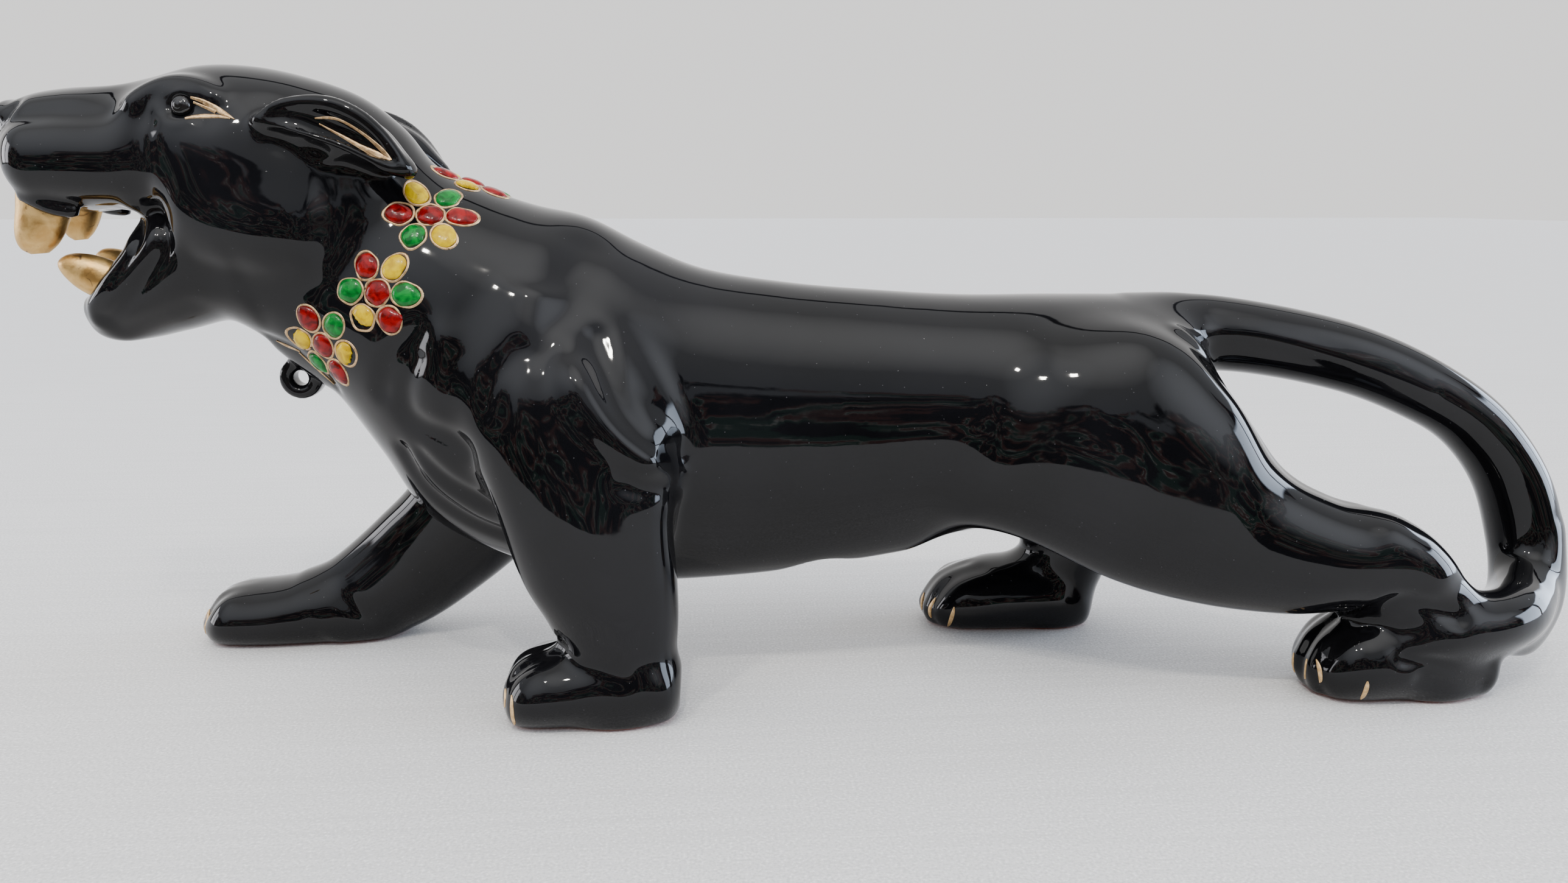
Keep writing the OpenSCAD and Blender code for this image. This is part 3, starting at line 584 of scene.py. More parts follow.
def mixed(tree, factor, a, b, blend="MIX"):
    """A colour mix, or another blend of a and b, which are sockets or colours."""
    node = tree.nodes.new("ShaderNodeMix")
    node.data_type = "RGBA"
    node.blend_type = blend
    tree.links.new(factor, node.inputs["Factor"])
    for name, value in (("A", a), ("B", b)):
        socket = [s for s in node.inputs if s.name == name and s.type == "RGBA"][0]
        if isinstance(value, tuple):
            socket.default_value = (*value, 1)
        else:
            tree.links.new(value, socket)
    return [s for s in node.outputs if s.type == "RGBA"][0]


def noise(tree, vector, scale, detail=2.0, distortion=0.0):
    """A noise texture's value, about 0.5 on average."""
    node = tree.nodes.new("ShaderNodeTexNoise")
    node.inputs["Scale"].default_value = scale
    node.inputs["Detail"].default_value = detail
    node.inputs["Distortion"].default_value = distortion
    tree.links.new(vector, node.inputs["Vector"])
    return node.outputs["Fac"]


def place_of(tree):
    """The point on the object, in metres."""
    return tree.nodes.new("ShaderNodeTexCoord").outputs["Object"]


def bumped(m, height, distance, strength=1.0):
    """Adds a bump to the material from a height of 0 to 1 over a distance in millimetres."""
    tree = m.node_tree
    node = tree.nodes.new("ShaderNodeBump")
    node.inputs["Distance"].default_value = distance * MM
    node.inputs["Strength"].default_value = strength
    tree.links.new(height, node.inputs["Height"])
    tree.links.new(node.outputs["Normal"], shader_of(m).inputs["Normal"])


def wire(m, socket, value):
    """Links a value to a socket of the material's shader."""
    m.node_tree.links.new(value, shader_of(m).inputs[socket])


def spots(tree, place, scale, size):
    """Small round dots, 1 inside and 0 outside, on a share of the texture's cells."""
    node = tree.nodes.new("ShaderNodeTexVoronoi")
    node.inputs["Scale"].default_value = scale
    tree.links.new(place, node.inputs["Vector"])
    split = tree.nodes.new("ShaderNodeSeparateColor")
    tree.links.new(node.outputs["Color"], split.inputs["Color"])
    dot = ramp(tree, node.outputs["Distance"], size, size * 0.6)
    return maths(tree, "MULTIPLY", dot, ramp(tree, split.outputs["Red"], 0.62, 0.64))


# Black glaze: a mirror with faint waves, dust specks and pinholes, bare clay round the soles
glaze = plain("black_glaze", (0.004, 0.004, 0.005), 0.03, ior=1.35)
tree = glaze.node_tree
place = place_of(tree)
dust = spots(tree, place, 420, 0.085)
cloud = noise(tree, place, 22, 4)
colour = mixed(tree, ramp(tree, cloud, 0.35, 0.75), (0.0025, 0.0025, 0.003), (0.006, 0.006, 0.0075))
colour = mixed(tree, dust, colour, (0.05, 0.05, 0.055))
height = tree.nodes.new("ShaderNodeSeparateXYZ")
tree.links.new(place, height.inputs[0])
sole = ramp(tree, maths(tree, "ADD", height.outputs["Z"], maths(tree, "MULTIPLY", cloud, 0.0012)),
            0.0016, 0.0013)
colour = mixed(tree, sole, colour, (0.30, 0.07, 0.035))
wire(glaze, "Base Color", colour)
rough = ramp(tree, noise(tree, place, 60, 5), 0.3, 0.75, 0.02, 0.075)
rough = maths(tree, "MAXIMUM", rough, maths(tree, "MULTIPLY", sole, 0.8))
wire(glaze, "Roughness", maths(tree, "MAXIMUM", rough, maths(tree, "MULTIPLY", dust, 0.35)))
ripples = maths(tree, "MULTIPLY", noise(tree, place, 150, 2), 0.12)
waves = maths(tree, "ADD", noise(tree, place, 55, 1), ripples)
bumped(glaze, maths(tree, "SUBTRACT", waves, maths(tree, "MULTIPLY", dust, 0.12)), 0.16)


def worked(name, even, streak, colours, rough, wear=None, relief=None, clouding=None, **more):
    """A finish that wanders between two colours and two roughnesses by a noise texture (streak),
    or in its roughness by another (clouding). It may have places worn to a third colour, and a
    relief from a texture of its own, or from the streaks."""
    m = plain(name, *even, **more)
    tree = m.node_tree
    place = place_of(tree)
    streaks = noise(tree, place, *streak)
    dark, pale, low, high = colours
    colour = mixed(tree, ramp(tree, streaks, low, high), dark, pale)
    if wear:
        texture, start, full, worn = wear
        colour = mixed(tree, ramp(tree, noise(tree, place, *texture), start, full), colour, worn)
    wire(m, "Base Color", colour)
    clouds = noise(tree, place, *clouding) if clouding else streaks
    wire(m, "Roughness", ramp(tree, clouds, 0.3, 0.7, *rough))
    if relief:
        texture, distance = relief
        bumped(m, noise(tree, place, *texture) if texture else streaks, distance)
    return m


# Gold paint, a little dull; the teeth's burnished gold, brown where worn; the claws' thin gold
gold = worked("gold_paint", ((0.62, 0.44, 0.2), 0.35), (900, 3, 0.4),
              ((0.40, 0.25, 0.12), (0.66, 0.47, 0.27), 0.35, 0.65), (0.32, 0.55), metallic=0.85,
              wear=((380, 4), 0.66, 0.72, (0.10, 0.06, 0.03)), relief=(None, 0.08))
tooth_gold = worked("tooth_gold", ((0.80, 0.56, 0.25), 0.42), (190, 5, 0.6),
                    ((0.46, 0.27, 0.085), (0.74, 0.50, 0.20), 0.35, 0.7), (0.34, 0.52), metallic=0.9,
                    wear=((260, 6, 1.0), 0.62, 0.72, (0.16, 0.09, 0.045)), relief=((700, 3), 0.10))
claw_gold = worked("claw_gold", ((0.70, 0.45, 0.2), 0.42), (700, 3),
                   ((0.52, 0.32, 0.13), (0.80, 0.56, 0.30), 0.35, 0.65), (0.35, 0.55), metallic=0.7)
eye_glass = worked("eye_glass", ((0.003, 0.003, 0.004), 0.04), (900, 4),
                   ((0.002, 0.002, 0.003), (0.012, 0.011, 0.011), 0, 1), (0.03, 0.12),
                   relief=(None, 0.05))


def enamel(name, deep, pale):
    """A coloured enamel: thicker and darker in places, with dark specks, under a clear gloss."""
    return worked(name, (pale, 0.14), (330, 4, 0.8), (deep, pale, 0.38, 0.62), (0.1, 0.24), ior=1.33,
                  wear=((1300, 3), 0.70, 0.76, tuple(0.35 * v for v in deep)),
                  relief=((500, 3), 0.14))


ENAMELS = {"enamel_red": enamel("red_enamel", (0.09, 0.001, 0.001), (0.28, 0.003, 0.004)),
           "enamel_yellow": enamel("yellow_enamel", (0.50, 0.31, 0.0), (0.72, 0.50, 0.0)),
           "enamel_green": enamel("green_enamel", (0.0, 0.09, 0.012), (0.0, 0.22, 0.03))}

# ---- ceramic pieces ----

grid = vdb.FloatGrid()
grid.copyFromArray(clay)
points, quads = grid.convertToQuads(isovalue=0.0)
points, normals = settled(LOW + points.astype(float) * VOXEL)
quads = quads.astype(int)
corners = [points[quads[:, i]] for i in range(4)]
facing = np.cross(corners[2] - corners[0], corners[3] - corners[1])
turned = (facing * normals[quads].sum(1)).sum(1) < 0
quads[turned] = quads[turned][:, ::-1]
middle = points[quads].mean(1)


def near(run, reach):
    """Which faces lie within reach of a roll of clay."""
    run = refined(run, 4)
    return tube(middle.T, run[:, :3], run[:, 3]) < reach


LIMB_REACH, EAR_REACH, LUG_REACH, LUG_HALF = 3.0, 1.6, 7.9, 5
part_of = np.full(len(quads), "torso", dtype=object)
seam = np.array([NECK_SEAM[0] + NECK_SEAM[2], 0, NECK_SEAM[1] + NECK_SEAM[3]]) / 2
across = np.array([NECK_SEAM[3] - NECK_SEAM[1], 0, NECK_SEAM[0] - NECK_SEAM[2]])
part_of[(middle - seam) @ across > 0] = "head"
nearest = sampled([spine_field], middle)[0]
for name, field in [*leg_fields.items(), ("tail", tail_field)]:
    value = sampled([field], middle)[0]
    part_of[value < np.minimum(nearest, LIMB_REACH)] = name
    nearest = np.minimum(nearest, value)
on_ear = np.zeros(len(quads), dtype=bool)
for run in (EAR_TOP, EAR_FOOT):
    for flip in (1, -1):
        on_ear |= near([[x, flip * y, z, r] for x, y, z, r in run], EAR_REACH)
part_of[on_ear] = np.where(middle[on_ear, 1] < 0, "ear_left", "ear_right")
ring = np.array([LUG[0], LUG[2]])
on_lug = np.linalg.norm(middle[:, [0, 2]] - ring, axis=1) < LUG_REACH
part_of[on_lug & (np.abs(middle[:, 1]) < LUG_HALF)] = "collar_lug"
for name in ["torso", "head", "ear_left", "ear_right", *LEGS, "tail", "collar_lug"]:
    used, corner = np.unique(quads[part_of == name], return_inverse=True)
    mesh_piece(name + "_casting", points[used], corner.reshape(-1, 4).tolist(), glaze,
               nodes=[name], normals=normals[used])

# ---- teeth ----

# The far canines are shorter and thinner than the near ones
BITE_X, FAR_DEPTH, FAR_WIDTH = -245, 0.8, 0.85
RAISED = {"upper": 3.4, "lower": 0.6}
UPPER_CANINE = [
    [-254, 168, -238, 168, 5.4, -11], [-254.6, 160, -238, 161, 5.8, -11.6],
    [-255.4, 154.5, -239, 157, 5.6, -12], [-255.4, 150.5, -241, 152.5, 4.8, -12.2],
    [-254.2, 147.6, -243.6, 148.8, 3.6, -12.2], [-251.6, 146, -246.4, 146.4, 1.6, -12.2]]
LOWER_CANINE = [
    [-224, 142, -230, 130, 5.2, -11], [-229, 144.4, -234.6, 132.6, 5.2, -11.4],
    [-234.4, 146, -238.8, 135.4, 4.8, -11.8], [-239.6, 146.2, -241.8, 138.6, 3.8, -12],
    [-242.6, 145, -243.4, 141, 2.2, -12], [-243.9, 143.6, -244, 142.6, 0.6, -12]]
for name, stations in (("upper", UPPER_CANINE), ("lower", LOWER_CANINE)):
    for side, sign in (("left", 1), ("right", -1)):
        run = [[*s[:5], s[5] * sign] for s in stations]
        if sign < 0:
            run = [[FAR_DEPTH * (x - BITE_X) + BITE_X, z + RAISED[name],
                    FAR_DEPTH * (u - BITE_X) + BITE_X, w + RAISED[name], FAR_WIDTH * half, y]
                   for x, z, u, w, half, y in run]
        tooth_points, tooth_quads, caps = skin(run, 40, 6)
        mesh_piece(f"{name}_{side}_tooth", tooth_points, [*tooth_quads, *caps[0], *caps[1]],
                   tooth_gold, nodes=[f"{name}_{side}_canine"])

# ---- eyes: black glass domes with a raised pupil ----

SIDES = 36


def band_faces(rings, first, closed_top, sides=SIDES):
    """Quads between rings of points, and one face over the last ring if it is closed."""
    faces = [[first + i * sides + j, first + i * sides + (j + 1) % sides,
              first + (i + 1) * sides + (j + 1) % sides, first + (i + 1) * sides + j]
             for i in range(rings - 1) for j in range(sides)]
    if closed_top:
        faces.append([first + (rings - 1) * sides + j for j in range(sides)])
    return faces


def lathe(profile, centre, axis, sides=48):
    """Points and faces of a profile of [radius, height] turned about an axis."""
    axis = unit(np.array(axis, dtype=float))
    across = unit(np.cross(axis, (0, 0, 1)))
    up = np.cross(across, axis)
    turn = np.linspace(0, 2 * math.pi, sides, endpoint=False)
    ring = np.cos(turn)[:, None] * across + np.sin(turn)[:, None] * up
    rows = [np.array(centre) + r * ring + h * axis for r, h in profile]
    return np.concatenate(rows), band_faces(len(profile), 0, True, sides)


EYE_PROFILE = [[2.6, -3], [3.3, -0.8], [3.25, 0], [2.9, 0.8], [2.4, 1.3], [1.8, 1.6], [1.55, 1.55],
               [1.4, 1.75], [0.9, 1.95], [0.1, 2.0]]
for side, sign in (("left", 1), ("right", -1)):
    eye_points, eye_faces = lathe(EYE_PROFILE, [EYE[0], sign * (EYE[1] - 0.2), EYE[2]],
                                  (-0.22, -sign * 0.95, 0.22))
    mesh_piece(f"{side}_eye", eye_points, eye_faces, eye_glass, nodes=[f"eye_{side}"])

# ---- collar: petals of enamel in rims of gold ----

FLOWERS = [[0.7, 92, 0], [0.66, 43, 0], [0.79, 0, 4], [0.52, -38.5, 4],
           [0.66, 137, 30], [0.79, 180, 26], [0.52, 218.5, 26]]
PETAL_COLOURS = ["GYRYRG", "GYRGYR", "YRGYRG", "GRYGRY", "RGYRGY", "GRYGRY", "YRGYRG"]
CHIPPED = [(2, 3), (3, 2), (3, 5), (0, 3), (5, 5)]
PETAL_R, PETAL_RING, ENAMEL_H = 3.75, 9.3, 1.25


def neck_frame(t, angle):
    """A place on the neck t stations behind the seam, with directions round and along it."""
    def at(t, angle):
        s = blend4(*[np.array(TORSO[i], dtype=float) for i in (0, 0, 1, 2)], t)
        rise = np.array([s[0] - s[2], 0, s[1] - s[3]]) / 2
        a = math.radians(angle)
        return (np.array([(s[0] + s[2]) / 2, -s[4] * math.cos(a), (s[1] + s[3]) / 2])
                + math.sin(a) * rise)
    p = at(t, angle)
    out = unit(np.cross(at(t + 0.05, angle) - p, at(t, angle + 2) - p))
    around = unit(at(t, angle + 2) - p)
    return p, around, np.cross(out, around)


def dome(outline, radii, heights, centre, ray, side):
    """Points of a low dome laid on the clay: rings of a share of the outline, at heights."""
    angle = np.linspace(0, 2 * math.pi, SIDES, endpoint=False)
    flat = np.array([centre + k * r * (math.cos(a) * ray + math.sin(a) * side)
                     for k in radii for a, r in zip(angle, outline)])
    on, out = settled(flat, rounds=6, stride=2)
    return on + out * np.repeat(heights, SIDES)[:, None]


def outline(rng, radius, stretch, point):
    """Radii of a hand-made petal, stretched and pointed along angle 0."""
    a = np.linspace(0, 2 * math.pi, SIDES, endpoint=False)
    waver = sum(rng.normal(0, 0.022) * np.cos(n * a + rng.uniform(0, 6.3)) for n in (2, 3, 4, 5))
    ridge = point * np.maximum(np.cos(a), 0) ** 6
    return radius * (1 + stretch * np.cos(2 * a) + ridge + waver)


rng = np.random.default_rng(7)
blobs = {name: [[], []] for name in ENAMELS}
rims = [[], []]
ENAMEL_OF = {"R": "enamel_red", "Y": "enamel_yellow", "G": "enamel_green"}
ENAMEL_RINGS = [1.02, 0.99, 0.93, 0.82, 0.66, 0.46, 0.22, 0.04]
for f, (t, angle, turn) in enumerate(FLOWERS):
    p, around, along = neck_frame(t, angle)
    for k in range(-1, 6):
        a = math.radians(turn + 60 * k)
        ray = math.cos(a) * around + math.sin(a) * along
        side = -math.sin(a) * around + math.cos(a) * along
        centre = p if k < 0 else p + PETAL_RING * ray
        petal = "R" if k < 0 else PETAL_COLOURS[f][k]
        stretch = 0.02 if k < 0 else rng.uniform(0.0, 0.14)
        point = 0 if k < 0 else rng.choice([0, 0.05, 0.18])
        edge = outline(rng, PETAL_R + 0.62, stretch, point)
        rim = dome(edge, [1.07, 1.04, 0.99, 0.93, 0.88, 0.84], [-0.3, 0.15, 0.3, 0.3, 0.15, -0.3],
                   centre, ray, side)
        rims[1] += band_faces(6, sum(map(len, rims[0])), False)
        rims[0].append(rim)
        shape = outline(rng, PETAL_R * rng.uniform(0.98, 1.06), stretch, 0.8 * point)
        if (f, k) in CHIPPED:
            jag = rng.uniform(0.0, 0.16, SIDES)
            bite = np.cos(np.linspace(0, 2 * math.pi, SIDES, endpoint=False) - rng.uniform(-0.6, 0.6))
            shape *= 1 - np.clip(bite - 0.25, 0, 1) * 0.55 - jag * (bite > 0.25)
        lean = centre + rng.uniform(-0.25, 0.25) * ray + rng.uniform(-0.25, 0.25) * side
        high = ENAMEL_H * rng.uniform(0.85, 1.1)
        heights = [-0.3] + [high * (1 - k ** 2.6) ** 0.6 + 0.12 for k in ENAMEL_RINGS[1:]]
        blob = dome(shape, ENAMEL_RINGS, heights, lean, ray, side)
        store = blobs[ENAMEL_OF[petal]]
        store[1] += band_faces(len(ENAMEL_RINGS), sum(map(len, store[0])), True)
        store[0].append(blob)
for name, (runs, faces) in blobs.items():
    mesh_piece(name + "_petals", np.concatenate(runs), faces, ENAMELS[name], nodes=[name])

# ---- gold strokes: eyes, ears, collar edge and claws ----


OFF, PAINT = 30, 0.28
BRUSH = ((-1, -0.25), (-0.9, 0.7), (-0.4, 1), (0.4, 1), (0.9, 0.7), (1, -0.25))


def stroke(points, widths, way):
    """A brush stroke of gold through points, with a width at each, laid on the clay by sliding
    them a direction from OFF millimetres away."""
    laid = slid(points - OFF * np.array(way), way, 2 * OFF)
    run = refined(np.column_stack([laid, widths]), 8)
    path, out = settled(run[:, :3], rounds=3)
    ahead = np.gradient(path, axis=0)
    side = np.cross(out, ahead)
    side /= np.linalg.norm(side, axis=1, keepdims=True)
    rows = []
    for share, height in BRUSH:
        on, up = settled(path + side * (share * run[:, 3:] / 2), rounds=3)
        rows.append(on + up * height * PAINT)
    mesh_points = np.stack(rows, axis=1)
    n, m = mesh_points.shape[:2]
    faces = [[i * m + j, i * m + j + 1, (i + 1) * m + j + 1, (i + 1) * m + j]
             for i in range(n - 1) for j in range(m - 1)]
    return mesh_points.reshape(-1, 3), faces


def strokes_piece(name, runs, finish, nodes=()):
    """One piece of several strokes, each a list of [x, y, z, width] and its direction."""
    all_points, all_faces, count = [], [], 0
    for run, way in runs:
        run = np.array(run, dtype=float)
        stroke_points, faces = stroke(run[:, :3], run[:, 3], way)
        all_points.append(stroke_points)
        all_faces += [[v + count for v in f] for f in faces]
        count += len(stroke_points)
    return mesh_piece(name, np.concatenate(all_points), all_faces, finish, nodes=nodes)


mesh_piece("collar_rims", np.concatenate(rims[0]), rims[1], gold, nodes=["collar_gold"])
LINER = [[[-194.4, -25, 192.6, 0.8], [-191, -25.5, 191.5, 1.3], [-187.2, -26.5, 189.4, 1.8],
          [-184, -27, 187.5, 1.4], [-181.4, -27.2, 186, 0.2]],
         [[-195.7, -25.6, 186.2, 0.8], [-191.4, -26, 187, 1.5], [-187, -26.2, 187, 1.3],
          [-182.6, -26.4, 186.2, 0.3]],
         [[-193.8, -25.5, 191.2, 0.7], [-190, -26, 189.6, 1.0], [-187, -26, 188.4, 1.5]]]
EAR_GOLD = [[[-157, -29, 186.4, 0.5], [-153, -29, 186.6, 0.9], [-149, -29, 185.6, 0.9],
             [-142.6, -29, 181.6, 1.1], [-138, -29, 177.6, 1.6], [-135, -29, 174.2, 0.6]],
            [[-156, -29, 184.8, 0.4], [-149.4, -30, 181.1, 1.0], [-144.2, -30, 178.2, 1.5],
             [-139, -29.5, 175.6, 2.2], [-135.2, -29, 174.2, 0.8]]]
for side, sign in (("left", 1), ("right", -1)):
    both = [([[x, sign * y, z, w] for x, y, z, w in run], (0, sign, 0)) for run in LINER + EAR_GOLD]
    strokes_piece(f"face_gold_{side}", both, gold)
COLLAR_EDGE = [[[-179.5, -12, 118.4, 0.3], [-176, -14, 117, 0.9], [-171, -16, 115.4, 0.4]],
               [[-171.5, -14, 115, 0.3], [-168, -16, 111.4, 0.8], [-164.8, -18, 108, 0.7],
                [-161.4, -19, 104.6, 0.3]]]
strokes_piece("collar_edge_gold", [(run, (0, 1, 0)) for run in COLLAR_EDGE], gold)
NEAR, FRONT = (0, 1, 0), (1, 0, 0)
CLAW_BRUSH = ((0, 0.3), (0.2, 1.3), (0.5, 1.6), (0.85, 1.3), (1, 0.4))
CLAWS = {  # direction they are laid on from, and the top and foot of each as [x, y, z]
    "front_left": [
        (NEAR, [-106.4, -62, 11.9], [-106.4, -62, 7]), (NEAR, [-103.4, -62, 12.4], [-103.2, -62, 2.6]),
        (FRONT, [-118, -37, 11.4], [-118, -37.4, 4]), (FRONT, [-118, -29, 11], [-118, -29, 4])],
    "front_right": [
        (NEAR, [-228.8, 12, 12], [-228.8, 12, 3.8]), (FRONT, [-242, 36, 11], [-242, 36, 3.4]),
        (FRONT, [-242, 44, 11], [-242, 44.4, 3.4]), (FRONT, [-242, 51, 10], [-242, 51.6, 3])],
    "hind_left": [
        (NEAR, [158.6, -62, 13.4], [159.2, -62, 6.4]), (NEAR, [169.9, -62, 10.4], [170.5, -62, 2.6]),
        (FRONT, [140, -41, 12], [140, -41, 5]), (FRONT, [140, -33, 11], [140, -33, 4])],
    "hind_right": [
        (FRONT, [30, 29, 12], [30, 29, 4]), (NEAR, [51, 8, 11], [49.6, 8, 2]),
        (FRONT, [30, 38, 11], [30, 38, 4]), (FRONT, [30, 46, 10], [30, 46.4, 4])]}
for name, claws in CLAWS.items():
    parts = []
    for way, top, foot in claws:
        run = [[*(np.array(top) * (1 - k) + np.array(foot) * k), w] for k, w in CLAW_BRUSH]
        parts.append((run, way))
    strokes_piece(f"claws_{name}_gold", parts, claw_gold, [f"claws_{name}"])

# ---- the lamp holder and bulb: CAD nodes with worked finishes ----


def grained(name, dark, pale, rough, metallic=0.0, scale=300, bump=0.05, **more):
    """A material that wanders between two colours and two roughnesses, with a fine bump."""
    return worked(name, (pale, rough[0]), (scale, 5, 0.5), (dark, pale, 0.32, 0.68), rough,
                  clouding=(scale * 2.5, 3), relief=((scale * 4, 3), bump), metallic=metallic, **more)


brass = grained("brass", (0.42, 0.27, 0.08), (0.72, 0.52, 0.20), (0.24, 0.42), 1.0, scale=240)
FINISHES = {
    "holder_cap": grained("bakelite", (0.010, 0.006, 0.004), (0.030, 0.017, 0.010), (0.22, 0.36)),
    "holder_clips": brass, "screw_shell": brass, "centre_contact": brass, "contact_rivet": brass,
    "inlet_grommet": grained("rubber", (0.010, 0.010, 0.010), (0.025, 0.024, 0.023), (0.6, 0.8)),
    "holder_sleeve": grained("sleeve_board", (0.30, 0.19, 0.09), (0.48, 0.33, 0.18), (0.7, 0.9),
                             scale=160, bump=0.12),
    "contact_disc": grained("fibre_disc", (0.16, 0.035, 0.02), (0.28, 0.07, 0.045), (0.5, 0.7)),
    "terminal_screws": grained("plated_screw", (0.45, 0.45, 0.44), (0.70, 0.70, 0.69), (0.2, 0.4), 1.0),
    "bulb_glass": grained("bulb_glass", (0.97, 0.98, 0.97), (1, 1, 1), (0.0, 0.03), ior=1.48,
                          scale=30, bump=0.02, Transmission_Weight=1.0),
    "bulb_cap": grained("cap_tin", (0.48, 0.46, 0.42), (0.74, 0.72, 0.68), (0.24, 0.44), 1.0),
    "bulb_insulator": grained("black_glass", (0.004, 0.004, 0.005), (0.014, 0.012, 0.016), (0.05, 0.15)),
    "bulb_tip": grained("solder", (0.42, 0.42, 0.43), (0.66, 0.66, 0.66), (0.3, 0.5), 1.0),
    "bulb_stem": grained("stem_glass", (0.92, 0.94, 0.92), (1, 1, 1), (0.0, 0.05), ior=1.5,
                         scale=60, Transmission_Weight=0.9),
    "bulb_leads": grained("lead_wire", (0.40, 0.36, 0.30), (0.62, 0.58, 0.52), (0.3, 0.5), 1.0),
    "filament": grained("tungsten", (0.10, 0.10, 0.11), (0.24, 0.24, 0.25), (0.4, 0.6), 1.0)}
for name, finish in FINISHES.items():
    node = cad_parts[name]
    node.data.materials.clear()
    node.data.materials.append(finish)

# ---- camera, floor and light ----

CAMERA_AT, CAMERA_DOWN, CAMERA_TURN, LENS = (-0.04334, -0.4004, 0.16347), 11.69, -4, 27.11
camera = bpy.data.objects.new("camera", bpy.data.cameras.new("camera"))
bpy.context.scene.collection.objects.link(camera)
bpy.context.scene.camera = camera
camera.location = CAMERA_AT
camera.rotation_euler = (math.radians(90 - CAMERA_DOWN), 0, math.radians(CAMERA_TURN))
camera.data.sensor_width = 36
camera.data.lens = LENS

# The floor ends under the camera, so that the glaze mirrors a dark room in front of it
FLOOR_X, FLOOR_FRONT, FLOOR_BACK = 6, -0.40, 9
mesh = bpy.data.meshes.new("floor")
mesh.from_pydata([(-FLOOR_X, FLOOR_FRONT, 0), (FLOOR_X, FLOOR_FRONT, 0), (FLOOR_X, FLOOR_BACK, 0),
                  (-FLOOR_X, FLOOR_BACK, 0)], [], [(0, 1, 2, 3)])
floor = bpy.data.objects.new("floor", mesh)
bpy.context.scene.collection.objects.link(floor)
cloth = plain("floor_cloth", (0.82, 0.81, 0.80), 0.6, Sheen_Weight=0.2)
mesh.materials.append(cloth)
tree = cloth.node_tree
place = place_of(tree)
stretch = tree.nodes.new("ShaderNodeMapping")
stretch.inputs["Scale"].default_value = (9, 260, 1)
tree.links.new(place, stretch.inputs["Vector"])
slubs = noise(tree, stretch.outputs["Vector"], 1.0, 3)
# Stretched slubs and fine specks in the cloth's colour; the palest specks, mixed in last, are painted
# sparkle: glints of the satin painted into its colour
fine = noise(tree, place, 1100, 3)
tone = mixed(tree, ramp(tree, slubs, 0.4, 0.75), (0.74, 0.73, 0.725), (0.67, 0.66, 0.655))
tone = mixed(tree, ramp(tree, fine, 0.38, 0.5), (0.60, 0.595, 0.59), tone)
wire(cloth, "Base Color", mixed(tree, ramp(tree, fine, 0.58, 0.66), tone, (0.90, 0.895, 0.89)))
bumped(cloth, maths(tree, "ADD", maths(tree, "MULTIPLY", slubs, 0.6), fine), 0.25, 0.7)

world = bpy.data.worlds.new("room")
bpy.context.scene.world = world
world.use_nodes = True
tree = world.node_tree
links = tree.links
direction = tree.nodes.new("ShaderNodeTexCoord").outputs["Generated"]
split = tree.nodes.new("ShaderNodeSeparateXYZ")
links.new(direction, split.inputs[0])
ax, ay, az = split.outputs


def glow(aim, narrow, wide):
    """1 towards aim, fading to 0 between two angles in degrees."""
    dot = tree.nodes.new("ShaderNodeVectorMath")
    dot.operation = "DOT_PRODUCT"
    links.new(direction, dot.inputs[0])
    dot.inputs[1].default_value = Vector(aim).normalized()
    outer, inner = math.cos(math.radians(wide)), math.cos(math.radians(narrow))
    return ramp(tree, dot.outputs["Value"], outer, inner)


def within(value, low, high, soft):
    """1 where a value lies between two limits, with soft edges."""
    return maths(tree, "MULTIPLY", ramp(tree, value, low - soft, low + soft),
                 ramp(tree, value, high + soft, high - soft))


# A dark room low down in front, with browns and greens; a grey ceiling above
wobble = maths(tree, "SUBTRACT", noise(tree, direction, 2.4, 4.0, 0.8), 0.5)
height = maths(tree, "ADD", az, maths(tree, "MULTIPLY", wobble, 0.8))
patches = noise(tree, direction, 3.4, 5.0, 2.6)
room = (0.02, 0.024, 0.028)
for low, high, colour in ((0.48, 0.50, (0.50, 0.20, 0.16)), (0.535, 0.54, (1.7, 1.8, 1.7)),
                          (0.545, 0.55, (0.12, 0.30, 0.22)), (0.60, 0.61, (0.03, 0.03, 0.034))):
    room = mixed(tree, ramp(tree, patches, low, high), room, colour)
ceiling = mixed(tree, ramp(tree, az, 0.3, 1.0), (0.80, 0.85, 0.94), (1.5, 1.5, 1.5))
sky = mixed(tree, ramp(tree, height, 0.37, 0.40), room, ceiling)
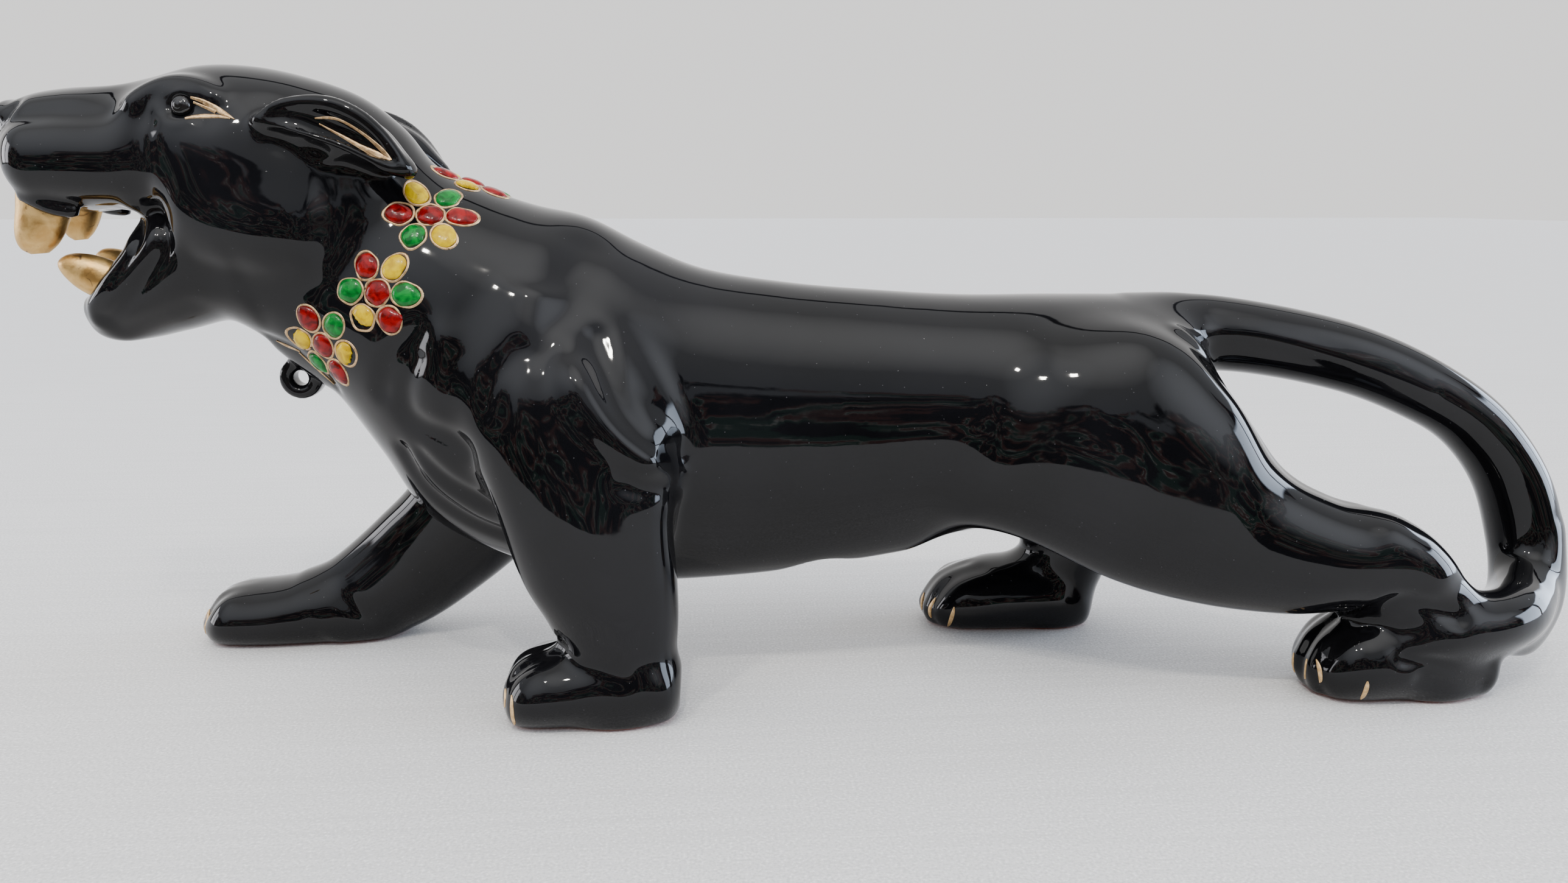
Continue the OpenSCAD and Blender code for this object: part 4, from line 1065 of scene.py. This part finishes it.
for aim, narrow, wide, colour in (((-0.55, -0.5, 0.75), 4, 30, (1.0, 1.05, 1.15)),
                                  ((0.75, -0.6, 0.55), 3, 24, (2.0, 2.1, 2.3)),
                                  ((0.1, -0.45, 0.95), 3, 26, (1.8, 1.8, 1.8))):
    sky = mixed(tree, glow(aim, narrow, wide), sky, colour, "ADD")
# The pale cloth behind, topped by a dark edge
EDGE_LOW, EDGE_HIGH = 0.385, 0.425
edge = maths(tree, "ADD", ay, maths(tree, "MULTIPLY", wobble, 0.06))
sky = mixed(tree, within(edge, EDGE_LOW, EDGE_HIGH, 0.006), sky, (0.01, 0.01, 0.01))
sky = mixed(tree, ramp(tree, edge, EDGE_HIGH, EDGE_HIGH + 0.015), sky, (1.5, 1.48, 1.47))
# Tall windows far to the left and right
for side, low, high, colour in ((1, -0.30, 0.44, (9.0, 10.4, 12.6)), (-1, -0.12, 0.34, (8.0, 8.0, 8.4))):
    panes = maths(tree, "MULTIPLY", within(ay, low, high, 0.02), within(az, 0.0, 0.40, 0.015))
    bars = within(ay, 0.06, 0.10, 0.006)
    panes = maths(tree, "MULTIPLY", panes, maths(tree, "SUBTRACT", 1.0, bars))
    panes = maths(tree, "MULTIPLY", panes, ramp(tree, ax, 0.3 * side, 0.31 * side))
    sky = mixed(tree, panes, sky, colour)
# The plain backdrop that the camera sees, as pale as the floor
BACKDROP = (1.26, 1.245, 1.235)
camera_ray = tree.nodes.new("ShaderNodeLightPath").outputs["Is Camera Ray"]
sky = mixed(tree, camera_ray, sky, BACKDROP)
links.new(sky, tree.nodes["Background"].inputs["Color"])
tree.nodes["Background"].inputs["Strength"].default_value = 1.0

LAMPS = {"left": (-0.42, -0.62, 1.0), "right": (-0.12, -0.66, 1.0)}
LAMP_AIM, LAMP_SIZE, LAMP_WATTS, LAMP_COLOUR = Vector((0, 0, 0.1)), 0.045, 3.0, (1, 0.96, 0.88)
for side, place in LAMPS.items():
    data = bpy.data.lights.new(f"ceiling_lamp_{side}", "AREA")
    data.size = LAMP_SIZE
    data.energy = LAMP_WATTS
    data.color = LAMP_COLOUR
    lamp = bpy.data.objects.new(data.name, data)
    lamp.location = place
    lamp.rotation_euler = (LAMP_AIM - Vector(place)).to_track_quat("-Z", "Y").to_euler()
    bpy.context.scene.collection.objects.link(lamp)
